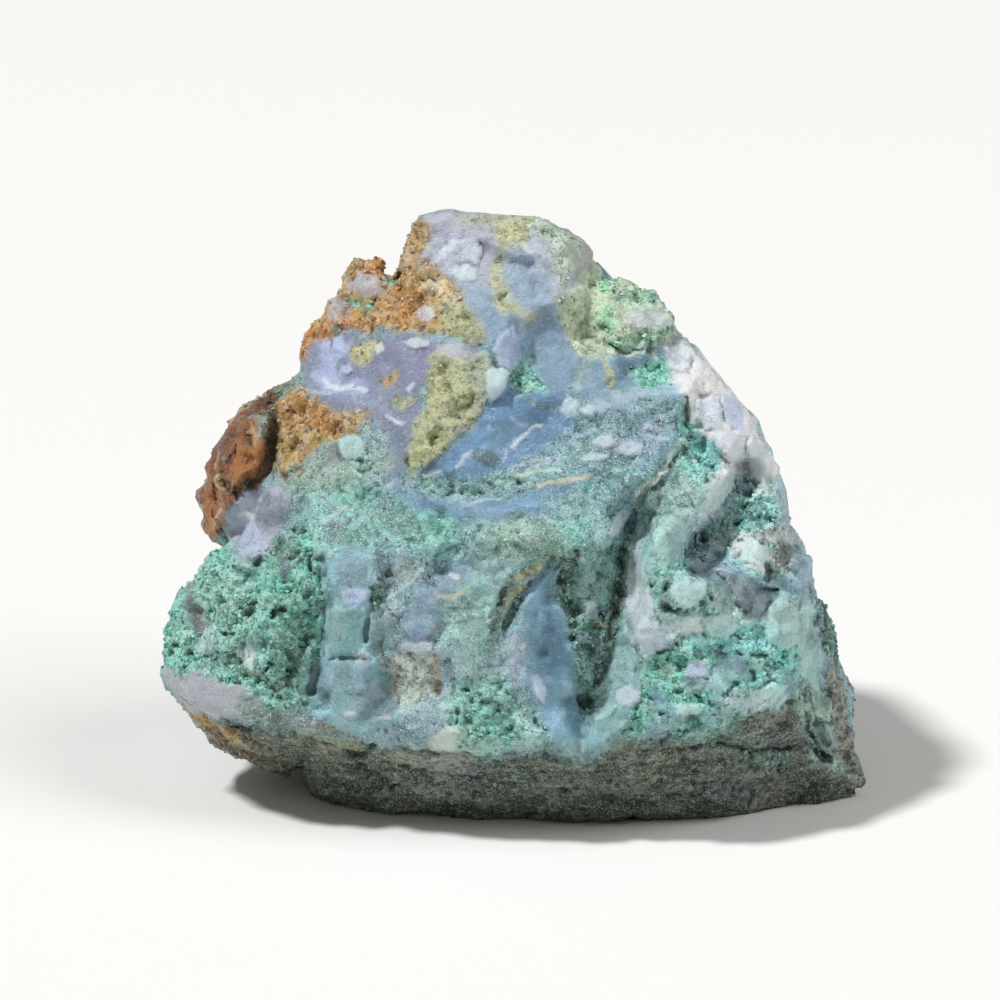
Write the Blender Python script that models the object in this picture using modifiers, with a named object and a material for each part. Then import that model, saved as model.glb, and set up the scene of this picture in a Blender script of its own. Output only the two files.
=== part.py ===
"""A rough, broken piece of moss agate, 44 mm wide, that rests on a flat broken spot.

The stone is one solid. Its mass is a union of a few angular blocks, each the hull of
its named corners. The union is remeshed into one skin. Clefts, hollows and knobs are
then pressed into the show side or raised from it, the whole skin is broken into small
facets, the moss and rust crusts are made lumpy, and the skin is thinned to flat
triangles.

The stone is in metres, +Z up, with its show side towards -Y. The corners are in
millimetres. A corner of the show side is given as it is seen by a viewer who looks
down on the stone by LOOK_DOWN: how far right of the middle, how far up from the front
edge of the resting spot, and how far back it lies.
"""

import math

import bmesh
import bpy
import numpy as np
from mathutils import Vector, noise

MM = 0.001

# The view that the corners are given in
LOOK_DOWN = math.radians(20)
FRONT_REST = -10.0
TO_VIEWER = np.array((0.0, -math.cos(LOOK_DOWN), math.sin(LOOK_DOWN)))

# Fineness of the skin, in mm, and its number of triangles
SKIN_CELL = 0.42
TRIANGLES = 9200

# Makes the noise the same each time
NOISE_SEED = 4


def at(across, back, up):
    """A point by its plain position in mm."""
    return Vector((across, back, up))


def seen(across, rise, back):
    """A point by where the viewer of the show side sees it, and how far back it is."""
    up = (rise - (back - FRONT_REST) * math.sin(LOOK_DOWN)) / math.cos(LOOK_DOWN)
    return Vector((across, back, up))


HEART = [
    # The front ledge, from the left to the right foot
    seen(-12.0, 6.6, -12.0),
    seen(-5.0, 5.2, -14.4),
    seen(5.0, 4.9, -15.0),
    seen(12.0, 6.2, -13.8),
    seen(16.0, 7.3, -11.8),
    seen(18.4, 8.5, -9.0),
    seen(22.0, 1.9, -6.3),
    # The lower front
    seen(-12.4, 16.0, -9.0),
    seen(-5.0, 16.6, -11.4),
    seen(4.0, 17.0, -11.2),
    seen(11.0, 18.5, -9.2),
    seen(17.4, 19.8, -3.5),
    seen(18.8, 13.4, -5.5),
    seen(19.4, 9.3, -6.5),
    # The upper front
    seen(-13.0, 26.5, -1.5),
    seen(-6.0, 26.2, -5.2),
    seen(5.0, 26.0, -5.2),
    seen(17.0, 21.9, -2.4),
    seen(15.6, 24.2, -1.5),
    seen(13.2, 26.9, 0.0),
    seen(11.6, 29.3, 1.5),
    seen(10.0, 31.0, 2.4),
    seen(8.4, 32.0, 2.8),
    seen(6.0, 33.0, 3.0),
    seen(-6.5, 32.0, 1.0),
    # The back
    at(7.5, 9.5, 27.0),
    at(-5.0, 7.0, 29.0),
    at(-13.0, 8.5, 17.0),
    at(-9.0, 13.0, 8.0),
    at(3.0, 14.2, 14.0),
    at(13.0, 10.5, 19.0),
    at(16.5, 12.0, 6.0),
    # The foot
    at(-12.0, -6.8, -1.0),
    at(-5.0, -9.4, -1.0),
    at(5.0, -10.3, -1.0),
    at(14.0, -9.6, -1.0),
    at(20.8, -6.0, -1.0),
    at(19.0, 3.0, -1.0),
    at(13.0, 11.0, -1.0),
    at(0.0, 12.5, -1.0),
    at(-9.0, 9.5, -1.0),
    at(-13.5, 1.0, -1.0),
]

CAP = [
    seen(-6.0, 37.4, 2.6),
    seen(-3.4, 38.0, 3.0),
    seen(0.6, 37.5, 3.2),
    seen(2.4, 36.9, 3.4),
    seen(4.1, 35.7, 3.8),
    seen(5.4, 34.3, 4.2),
    seen(6.4, 33.4, 4.2),
    seen(-7.1, 34.2, 1.6),
    seen(-5.6, 30.6, -0.9),
    seen(-1.5, 29.0, -2.6),
    seen(4.0, 30.0, -1.0),
    at(-5.0, 8.0, 33.2),
    at(3.0, 9.0, 32.0),
    at(4.5, 10.5, 24.0),
    at(-6.5, 9.0, 24.0),
]

CROWN = [
    seen(6.0, 33.7, 3.4),
    seen(8.2, 33.2, 3.2),
    seen(9.5, 32.8, 2.8),
    seen(10.2, 31.4, 1.8),
    seen(9.6, 29.8, -0.6),
    seen(6.6, 30.6, -0.4),
    seen(5.4, 31.6, 0.6),
    at(6.0, 8.0, 27.5),
    at(9.0, 7.0, 26.0),
]

RUST_SLOPE = [
    seen(-13.3, 28.8, 2.0),
    seen(-12.7, 30.4, 2.5),
    seen(-11.2, 32.3, 3.0),
    seen(-9.8, 33.8, 3.6),
    seen(-7.6, 33.7, 3.4),
    seen(-6.8, 32.4, 1.4),
    seen(-3.2, 31.0, -1.4),
    seen(-2.4, 28.4, -3.8),
    seen(-6.0, 26.4, -5.6),
    seen(-12.0, 25.4, -2.8),
    at(-8.5, 8.5, 28.0),
    at(-12.0, 8.0, 22.0),
]

RUST_KNOB = [
    seen(-10.0, 33.6, 2.6),
    seen(-9.7, 34.7, 3.2),
    seen(-9.2, 35.5, 3.8),
    seen(-8.4, 35.4, 3.8),
    seen(-7.9, 34.6, 3.2),
    seen(-7.8, 33.0, 1.2),
    seen(-9.6, 32.8, 1.0),
    at(-8.6, 6.5, 29.5),
    at(-9.5, 5.5, 28.5),
]

RUST_LOBE = [
    seen(-12.6, 27.9, 2.5),
    seen(-15.6, 26.5, 2.8),
    seen(-17.4, 25.3, 3.0),
    seen(-18.7, 23.6, 3.2),
    seen(-19.3, 21.8, 3.0),
    seen(-19.6, 19.8, 2.6),
    seen(-19.6, 18.2, 2.0),
    seen(-18.8, 16.8, 1.2),
    seen(-16.6, 24.2, -1.6),
    seen(-17.6, 19.5, -1.4),
    seen(-15.2, 21.5, -3.2),
    seen(-12.0, 25.8, -3.2),
    seen(-11.5, 19.0, -7.0),
    seen(-14.4, 17.0, -4.8),
    at(-13.0, 9.5, 20.0),
    at(-17.0, 6.5, 13.0),
    at(-12.0, 10.0, 11.0),
]

LEFT_SHOULDER = [
    seen(-18.2, 16.5, -2.8),
    seen(-19.5, 15.4, -3.2),
    seen(-21.0, 12.8, -3.8),
    seen(-22.0, 10.9, -4.8),
    seen(-21.9, 8.8, -6.0),
    seen(-13.6, 18.0, -7.4),
    seen(-17.8, 15.6, -6.6),
    seen(-12.6, 13.5, -11.4),
    seen(-18.6, 11.0, -9.4),
    seen(-19.6, 7.2, -9.4),
    seen(-16.4, 6.1, -11.6),
    seen(-11.6, 5.6, -13.0),
    seen(-20.6, 6.8, -5.6),
    seen(-19.4, 5.2, -4.4),
    seen(-17.2, 3.6, -3.8),
    seen(-14.0, 2.2, -5.6),
    at(-18.5, 4.0, 7.5),
    at(-19.0, 2.5, 11.0),
    at(-12.0, 9.5, 12.0),
    at(-12.0, 8.0, 3.0),
]

RIGHT_SHOULDER = [
    seen(8.4, 17.4, -11.2),
    seen(7.5, 9.5, -14.6),
    seen(8.4, 5.6, -15.3),
    seen(12.4, 6.5, -14.6),
    seen(16.2, 7.6, -12.6),
    seen(18.4, 8.7, -10.0),
    seen(19.2, 13.4, -6.6),
    seen(17.8, 19.2, -4.2),
    seen(15.0, 20.0, -6.4),
    seen(10.6, 18.6, -9.6),
    at(12.0, 2.0, 4.0),
    at(12.0, 2.0, 16.0),
]

BACK_LUMP = [
    seen(18.8, 14.2, 3.0),
    seen(19.8, 13.4, 3.2),
    seen(20.4, 11.8, 3.4),
    seen(20.9, 10.2, 3.0),
    seen(20.6, 9.2, 1.6),
    seen(21.0, 7.4, -1.0),
    seen(21.6, 4.2, -3.6),
    at(16.0, 9.5, 12.0),
    at(17.5, 9.0, 4.0),
    at(14.0, 2.0, 12.0),
    at(14.0, 0.0, 2.0),
]

BLOCKS = {
    "heart": HEART,
    "cap": CAP,
    "crown": CROWN,
    "rust_slope": RUST_SLOPE,
    "rust_knob": RUST_KNOB,
    "rust_lobe": RUST_LOBE,
    "left_shoulder": LEFT_SHOULDER,
    "right_shoulder": RIGHT_SHOULDER,
    "back_lump": BACK_LUMP,
}

# Clefts in the show side: the path as (across, rise), the half width and the depth
CLEFTS = {
    "deep_hollow": (((7.3, 18.2), (6.7, 14.5), (6.0, 11.5), (5.3, 8.0), (4.6, 5.8)), 1.3, 1.9),
    "quartz_cleft": (((14.6, 21.6), (13.9, 19.6), (12.6, 17.6), (11.6, 16.0)), 0.9, 2.4),
    "rust_crevice": (((-14.3, 26.6), (-14.2, 23.0), (-15.2, 20.8), (-17.9, 16.9)), 0.8, 1.2),
    "shoulder_shade": (((-13.0, 12.4), (-12.7, 9.4), (-12.0, 7.2)), 0.8, 1.0),
    "ochre_seam": (((1.7, 16.0), (0.3, 13.6), (-1.2, 11.0)), 0.5, 0.6),
    "crack": (((12.0, 22.9), (11.2, 21.6), (9.8, 20.2), (8.1, 19.3), (7.6, 18.0)), 0.5, 0.7),
    "quartz_side": (((11.9, 26.6), (12.0, 23.8)), 0.5, 0.8),
    "block_side": (((-7.7, 13.6), (-7.9, 10.4), (-7.6, 7.0)), 0.45, 0.6),
    "chip_seam": (((-7.3, 16.4), (-8.0, 13.2)), 0.4, 0.5),
    "pool_rim": (((-0.8, 26.0), (-2.6, 23.4), (-4.9, 21.2), (-3.8, 20.4), (1.0, 20.8)), 0.45, 0.45),
}

# Hollows and knobs: the middle as (across, rise), the two radii, the turn in degrees
# from level and the depth, below zero where the surface is raised
DENTS = {
    "blue_pool": ((2.2, 23.4), (4.4, 1.8), 32, 0.6),
    "grey_hollow": ((3.4, 29.2), (2.8, 2.4), 0, 0.9),
    "lavender_hollow": ((-9.6, 28.3), (2.8, 1.9), -25, 0.9),
    "tan_hollow": ((-6.0, 8.8), (1.8, 1.7), 0, 0.6),
    "column_hollow": ((3.4, 11.2), (2.2, 5.0), 0, 0.9),
    "ledge_hollow": ((7.4, 27.4), (4.2, 1.1), 8, 0.6),
    "pocket": ((13.6, 17.2), (1.6, 1.4), 0, 0.9),
    "olive_patch": ((-3.0, 24.6), (1.9, 3.7), -32, -0.6),
    "white_flake": ((-0.4, 28.4), (0.9, 2.2), -14, -0.8),
    "quartz_crest": ((13.2, 25.8), (1.9, 3.6), 28, -0.8),
    "boulder": ((10.7, 13.9), (1.7, 1.4), 0, -0.6),
    "blue_block": ((-10.0, 10.4), (1.9, 4.4), 0, -0.6),
    "chip": ((6.2, 18.3), (0.8, 1.1), -35, -0.6),
    "pale_ledge": ((7.6, 25.6), (4.2, 0.6), 10, -0.5),
    "middle_block": ((-3.6, 12.6), (2.6, 2.4), 20, -0.4),
}

# The width of the soft rim, as a share of the radius of a hollow, a knob or a crust, or
# of the half width of a cleft
SOFT_RIM = 0.5
SOFT_CLEFT = 1.0

# Where a surface starts to face the viewer enough to be pressed
FACING = 0.35

# How far the edges of the clefts and hollows wander, in mm, and how often
WANDER = 0.35
WANDER_RATE = 0.9

# The stone's broken facets, coarse to fine: the size of a facet and how far it tilts
FACETS = ((6.5, 0.10), (3.2, 0.12), (1.7, 0.10))
FACET_WANDER = 0.9
FACET_WANDER_RATE = 0.35
LEAN_RATE = 7.31
LEAN_SHIFT = Vector((3.7, 1.3, 5.9))

# Calm stretches, where the broken facets are weak: the middle as (across, rise), the
# two radii, the turn in degrees, and how much of the facets is left there
CALM = {
    "blue_pool": ((2.0, 22.4), (7.5, 3.0), 24, 0.35),
    "lavender": ((-9.4, 27.8), (3.4, 2.6), 0, 0.5),
    "blue_columns": ((-9.6, 10.4), (2.6, 5.0), 0, 0.5),
    "smooth_band": ((-17.0, 7.6), (5.0, 1.0), 0, 0.3),
    "grey_facet": ((3.0, 29.2), (2.4, 2.2), 0, 0.4),
    "quartz": ((13.2, 25.6), (1.8, 3.4), 28, 0.6),
}
UNDERSIDE_ROUGH = 0.5

# Crusts that are lumpy: the middle as (across, rise), and the two radii
CRUSTS = {
    "left_moss": ((-17.2, 12.2), (4.6, 4.4)),
    "right_moss": ((13.6, 12.6), (5.2, 5.0)),
    "rust_slope": ((-8.6, 31.0), (4.4, 3.2)),
    "rust_lobe": ((-17.0, 22.0), (3.6, 5.4)),
    "crown_moss": ((8.6, 30.6), (2.8, 2.6)),
    "olive": ((-3.0, 24.6), (2.0, 3.4)),
}
CRUST_LUMP = 1.0
CRUST_HEIGHT = 0.32


def clear_scene():
    for obj in list(bpy.data.objects):
        bpy.data.objects.remove(obj)


def new_collection(name):
    collection = bpy.data.collections.new(name)
    bpy.context.scene.collection.children.link(collection)
    return collection


def block_mesh(name, corners):
    """The hull of the corners as a mesh, in metres."""
    shape = bmesh.new()
    for corner in corners:
        shape.verts.new(corner * MM)
    made = bmesh.ops.convex_hull(shape, input=shape.verts)
    loose = [v for v in made["geom_interior"] if isinstance(v, bmesh.types.BMVert)]
    bmesh.ops.delete(shape, geom=loose, context="VERTS")
    bmesh.ops.recalc_face_normals(shape, faces=shape.faces)
    mesh = bpy.data.meshes.new(name)
    shape.to_mesh(mesh)
    shape.free()
    return mesh


def evaluated(mesh, collection, add_modifiers):
    """The mesh as it is once add_modifiers has put its modifiers on it."""
    obj = bpy.data.objects.new("work", mesh)
    collection.objects.link(obj)
    add_modifiers(obj)
    bpy.context.view_layer.update()
    graph = bpy.context.evaluated_depsgraph_get()
    result = bpy.data.meshes.new_from_object(obj.evaluated_get(graph))
    bpy.data.objects.remove(obj)
    return result


def add_skin(obj):
    """An even skin of small faces, in place of faces of any size."""
    skin = obj.modifiers.new("skin", "REMESH")
    skin.mode = "VOXEL"
    skin.voxel_size = SKIN_CELL * MM


def joined_blocks(collection):
    """The union of all the blocks as one even skin."""
    others = []
    for name, corners in list(BLOCKS.items())[1:]:
        other = bpy.data.objects.new(name, block_mesh(name, corners))
        collection.objects.link(other)
        others.append(other)

    def add_joins(obj):
        for other in others:
            join = obj.modifiers.new("join " + other.name, "BOOLEAN")
            join.operation = "UNION"
            join.object = other
        add_skin(obj)

    mesh = evaluated(block_mesh("heart", HEART), collection, add_joins)
    for other in others:
        bpy.data.objects.remove(other)
    return mesh


def points_of(mesh):
    """The points of the mesh in mm."""
    points = np.empty(len(mesh.vertices) * 3, np.float32)
    mesh.vertices.foreach_get("co", points)
    return points.reshape(-1, 3).astype(float) / MM


def normals_of(mesh):
    normals = np.empty(len(mesh.vertices) * 3, np.float32)
    mesh.vertices.foreach_get("normal", normals)
    return normals.reshape(-1, 3).astype(float)


def put_points(mesh, points):
    mesh.vertices.foreach_set("co", (points * MM).astype(np.float32).ravel())
    mesh.update()


def smooth_step(x):
    x = np.clip(x, 0, 1)
    return x * x * (3 - 2 * x)


def picture_of(points):
    """Across and rise of each point, as the viewer of the show side sees them."""
    rise = points[:, 2] * math.cos(LOOK_DOWN)
    rise = rise + (points[:, 1] - FRONT_REST) * math.sin(LOOK_DOWN)
    return np.stack((points[:, 0], rise), axis=1)


def distance_to_path(picture, path):
    """How far each point of the picture lies from a path of straight stretches."""
    nearest = np.full(len(picture), np.inf)
    for start, end in zip(path, path[1:]):
        start, end = np.array(start), np.array(end)
        run = end - start
        along = np.clip((picture - start) @ run / (run @ run), 0, 1)
        gap = np.linalg.norm(picture - start - along[:, None] * run, axis=1)
        nearest = np.minimum(nearest, gap)
    return nearest


def inside_rim(distance, softness):
    """1 inside and 0 outside a soft rim, which lies where the distance is 1."""
    return smooth_step((1 + softness / 2 - distance) / softness)


def inside_ellipse(picture, middle, radii, turn):
    """How far each point is inside an ellipse: 1 inside, and 0 outside its soft rim."""
    turn = math.radians(turn)
    along = np.array((math.cos(turn), math.sin(turn)))
    across = np.array((-math.sin(turn), math.cos(turn)))
    offset = picture - np.array(middle)
    distance = np.hypot(offset @ along / radii[0], offset @ across / radii[1])
    return inside_rim(distance, SOFT_RIM)


def press_show_side(mesh):
    """Presses the clefts and hollows in, and raises the knobs, as the viewer looks."""
    points = points_of(mesh)
    facing = smooth_step(normals_of(mesh) @ TO_VIEWER / FACING)
    wander = np.array([noise.noise_vector(Vector(p) * WANDER_RATE) for p in points])
    picture = picture_of(points) + wander[:, :2] * WANDER
    depth = np.zeros(len(points))
    for path, half_width, deep in CLEFTS.values():
        depth += deep * inside_rim(distance_to_path(picture, path) / half_width, SOFT_CLEFT)
    for ellipse in DENTS.values():
        depth += ellipse[3] * inside_ellipse(picture, *ellipse[:3])
    put_points(mesh, points - TO_VIEWER * (depth * facing)[:, None])


def facet_height(point, size, tilt):
    """How far a point is raised by the tilt of the broken facet that it is on."""
    centre = noise.voronoi(point / size)[1][0]
    lean = noise.cell_vector(centre * LEAN_RATE + LEAN_SHIFT) * 2 - Vector((1, 1, 1))
    return lean.dot(point / size - centre) * tilt * size


def break_into_facets(mesh):
    """Breaks the whole skin into small tilted facets, and makes the crusts lumpy."""
    points = points_of(mesh)
    normals = normals_of(mesh)
    picture = picture_of(points)
    on_show = normals @ TO_VIEWER > 0
    crust = np.zeros(len(points))
    for middle, radii in CRUSTS.values():
        crust = np.maximum(crust, inside_ellipse(picture, middle, radii, 0))
    rough = 1 - (1 - UNDERSIDE_ROUGH) * smooth_step(-normals[:, 2] / FACING)
    for ellipse in CALM.values():
        calm = inside_ellipse(picture, *ellipse[:3]) * on_show
        rough = np.minimum(rough, 1 - (1 - ellipse[3]) * calm)
    raised = np.zeros(len(points))
    for index, point in enumerate(map(Vector, points)):
        place = point + noise.noise_vector(point * FACET_WANDER_RATE) * FACET_WANDER
        broken = sum(facet_height(place, size, tilt) for size, tilt in FACETS)
        lump = 1 - 2 * noise.voronoi(point / CRUST_LUMP)[0][0]
        raised[index] = rough[index] * broken + crust[index] * CRUST_HEIGHT * lump
    put_points(mesh, points + normals * raised[:, None])


def add_thinning(obj):
    """Merges nearly flat stretches into larger triangles."""
    triangles = sum(len(p.vertices) - 2 for p in obj.data.polygons)
    thin = obj.modifiers.new("thin", "DECIMATE")
    thin.ratio = min(1.0, TRIANGLES / triangles)
    thin.use_collapse_triangulate = True


def cut_foot(mesh):
    """Cuts the stone off flat where it rests, and puts the origin under its middle."""
    shape = bmesh.new()
    shape.from_mesh(mesh)
    cut = bmesh.ops.bisect_plane(
        shape,
        geom=shape.verts[:] + shape.edges[:] + shape.faces[:],
        plane_co=(0, 0, 0),
        plane_no=(0, 0, -1),
        clear_outer=True,
    )
    rim = [e for e in cut["geom_cut"] if isinstance(e, bmesh.types.BMEdge)]
    bmesh.ops.holes_fill(shape, edges=rim)
    bmesh.ops.triangulate(shape, faces=shape.faces)
    across = [v.co.x for v in shape.verts]
    back = [v.co.y for v in shape.verts]
    middle = Vector(((max(across) + min(across)) / 2, (max(back) + min(back)) / 2, 0))
    bmesh.ops.translate(shape, verts=shape.verts, vec=-middle)
    bmesh.ops.recalc_face_normals(shape, faces=shape.faces)
    shape.to_mesh(mesh)
    shape.free()


def stone_material():
    material = bpy.data.materials.new("moss agate")
    material.use_nodes = True
    surface = material.node_tree.nodes["Principled BSDF"]
    surface.inputs["Base Color"].default_value = (0.16, 0.26, 0.25, 1)
    surface.inputs["Roughness"].default_value = 0.5
    surface.inputs["Metallic"].default_value = 0
    return material


def main():
    clear_scene()
    noise.seed_set(NOISE_SEED)
    helpers = new_collection("helpers")
    stone = new_collection("moss agate specimen")
    mesh = joined_blocks(helpers)
    press_show_side(mesh)
    mesh = evaluated(mesh, helpers, add_skin)
    break_into_facets(mesh)
    mesh = evaluated(mesh, helpers, add_thinning)
    cut_foot(mesh)
    mesh.name = "moss_agate"
    mesh.materials.clear()
    mesh.materials.append(stone_material())
    stone.objects.link(bpy.data.objects.new("moss_agate", mesh))
    bpy.data.collections.remove(helpers)


main()
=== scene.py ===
"""The looks of a rough, broken piece of moss agate on a pale floor.

The stone is copied from its solid and given a dense skin. Coats of mineral are painted on
it as named outlines, and each coat brings its own relief, colour and gloss. The grains of
moss, rust, olive crust and druse are pieces of their own.
"""

import math

import bmesh
import bpy
import numpy as np
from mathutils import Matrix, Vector, noise


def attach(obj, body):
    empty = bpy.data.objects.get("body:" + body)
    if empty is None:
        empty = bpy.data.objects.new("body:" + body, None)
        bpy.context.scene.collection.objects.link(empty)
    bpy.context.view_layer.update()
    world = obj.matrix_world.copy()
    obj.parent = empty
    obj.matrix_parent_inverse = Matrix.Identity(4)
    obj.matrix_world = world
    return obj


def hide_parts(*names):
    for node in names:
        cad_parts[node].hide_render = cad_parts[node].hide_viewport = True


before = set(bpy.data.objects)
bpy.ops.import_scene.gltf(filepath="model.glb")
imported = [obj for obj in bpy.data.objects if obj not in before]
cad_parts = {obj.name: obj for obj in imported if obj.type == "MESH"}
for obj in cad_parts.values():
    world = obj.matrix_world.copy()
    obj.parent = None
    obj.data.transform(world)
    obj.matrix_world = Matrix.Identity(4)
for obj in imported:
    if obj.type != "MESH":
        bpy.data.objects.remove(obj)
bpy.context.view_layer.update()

MM = 0.001
STONE = "moss_agate"
NOISE_SEED = 11

# How far the solid was moved to stand over its origin, in mm
MOVED = np.array((0.198, -0.393, 0.0))

# The view that the outlines are given in, in points of the picture, 16 to a mm
LOOK_DOWN = math.radians(20)
FRONT_REST = -10.0
POINTS_PER_MM = 16.0
MIDDLE_POINT = 510.0
FOOT_POINT = 817.0
TO_VIEWER = Vector((0.0, -math.cos(LOOK_DOWN), math.sin(LOOK_DOWN)))

# The camera
FRAME_WIDTH = 0.0625
CAMERA_DISTANCE = 1.0
SENSOR = 36.0
CAMERA_TARGET = Vector((-0.000823, 0.000393, 0.0174))

# The skin of the stone
SKIN_CELL = 0.18
SMOOTH_TIMES = 3
KEPT_FACES = 0.5
BACK_FACING = 0.05


# Colours, as they look in the light of the studio, 0 to 255

COLOURS = {
    "lilac_grey": (168, 172, 186),
    "pale_lilac": (208, 220, 236),
    "lavender": (124, 130, 152),
    "bright_lavender": (164, 178, 210),
    "dusk_lavender": (118, 120, 146),
    "violet_grey": (98, 104, 122),
    "pool_blue": (98, 133, 165),
    "light_blue": (146, 182, 208),
    "deep_blue": (98, 138, 156),
    "slate_blue": (118, 142, 164),
    "grey_blue": (138, 160, 180),
    "glass_green": (146, 196, 202),
    "mid_green": (122, 169, 164),
    "druse_grey": (120, 158, 172),
    "moss": (130, 196, 182),
    "deep_moss": (104, 182, 162),
    "pale_moss": (172, 222, 208),
    "dark_moss": (84, 130, 118),
    "crown_lime": (224, 240, 208),
    "crown_green": (156, 220, 174),
    "olive": (164, 170, 132),
    "yellow_olive": (190, 192, 142),
    "brown_grey": (150, 162, 154),
    "ochre": (178, 150, 96),
    "orange": (190, 124, 60),
    "tan": (220, 206, 168),
    "rust": (144, 88, 46),
    "dark_rust": (92, 60, 42),
    "beige": (184, 154, 130),
    "white_quartz": (232, 241, 250),
    "warm_quartz": (238, 238, 236),
    "grey_quartz": (188, 208, 210),
    "mint_quartz": (190, 226, 222),
    "cream": (210, 216, 202),
    "shade": (66, 88, 78),
    "under_green": (94, 106, 94),
    "under_brown": (98, 80, 62),
    "side_grey": (158, 162, 150),
    "slate_grey": (122, 138, 146),
    "dusk_blue": (112, 126, 144),
    "olive_teal": (136, 160, 138),
    "gold": (208, 204, 176),
    "lobe_orange": (152, 98, 48),
    "line_grey": (140, 166, 178),
    "stream_blue": (84, 116, 148),
    "mid_grey_green": (150, 176, 170),
    "band_grey": (158, 160, 168),
    "dusk_violet": (80, 94, 106),
    "bright_mint": (208, 248, 242),
    "crown_mint": (196, 246, 206),
    "facet_grey": (138, 145, 136),
    "ridge_teal": (116, 154, 162),
    "vein_olive": (140, 160, 134),
    "teal_grey": (98, 140, 146),
    "block_grey": (90, 122, 116),
    "column_heart": (70, 98, 122),
    "corner_green": (150, 178, 160),
    "bright_moss": (128, 214, 184),
    "pale_teal": (152, 196, 190),
    "brown_violet": (112, 100, 102),
    # The darkest painted shade, under the stone and in its cracks
    "deep_shade": (40, 46, 42),
    "under_violet": (92, 96, 106),
    "under_olive": (112, 120, 94),
}


# How much lighter the stone itself is than it looks, and the lightest that it gets
SHADED_SHARE = 1.42
MOST_SHARE = 0.93

# Painted light: the right of the show side is made lighter in colour, standing in for light that it gets too little of:
# where that begins and is full, in mm, and how much
PAINTED_LIGHT_START = 7.0
PAINTED_LIGHT_FULL = 15.0
PAINTED_LIGHT_GAIN = np.array((0.50, 0.55, 0.62))

# Coats of the show side, each painted over the last: the name, the kind of mineral, the
# colour, the softness of the edge in mm, how strongly it covers, and the outline in points
# of the picture

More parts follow.
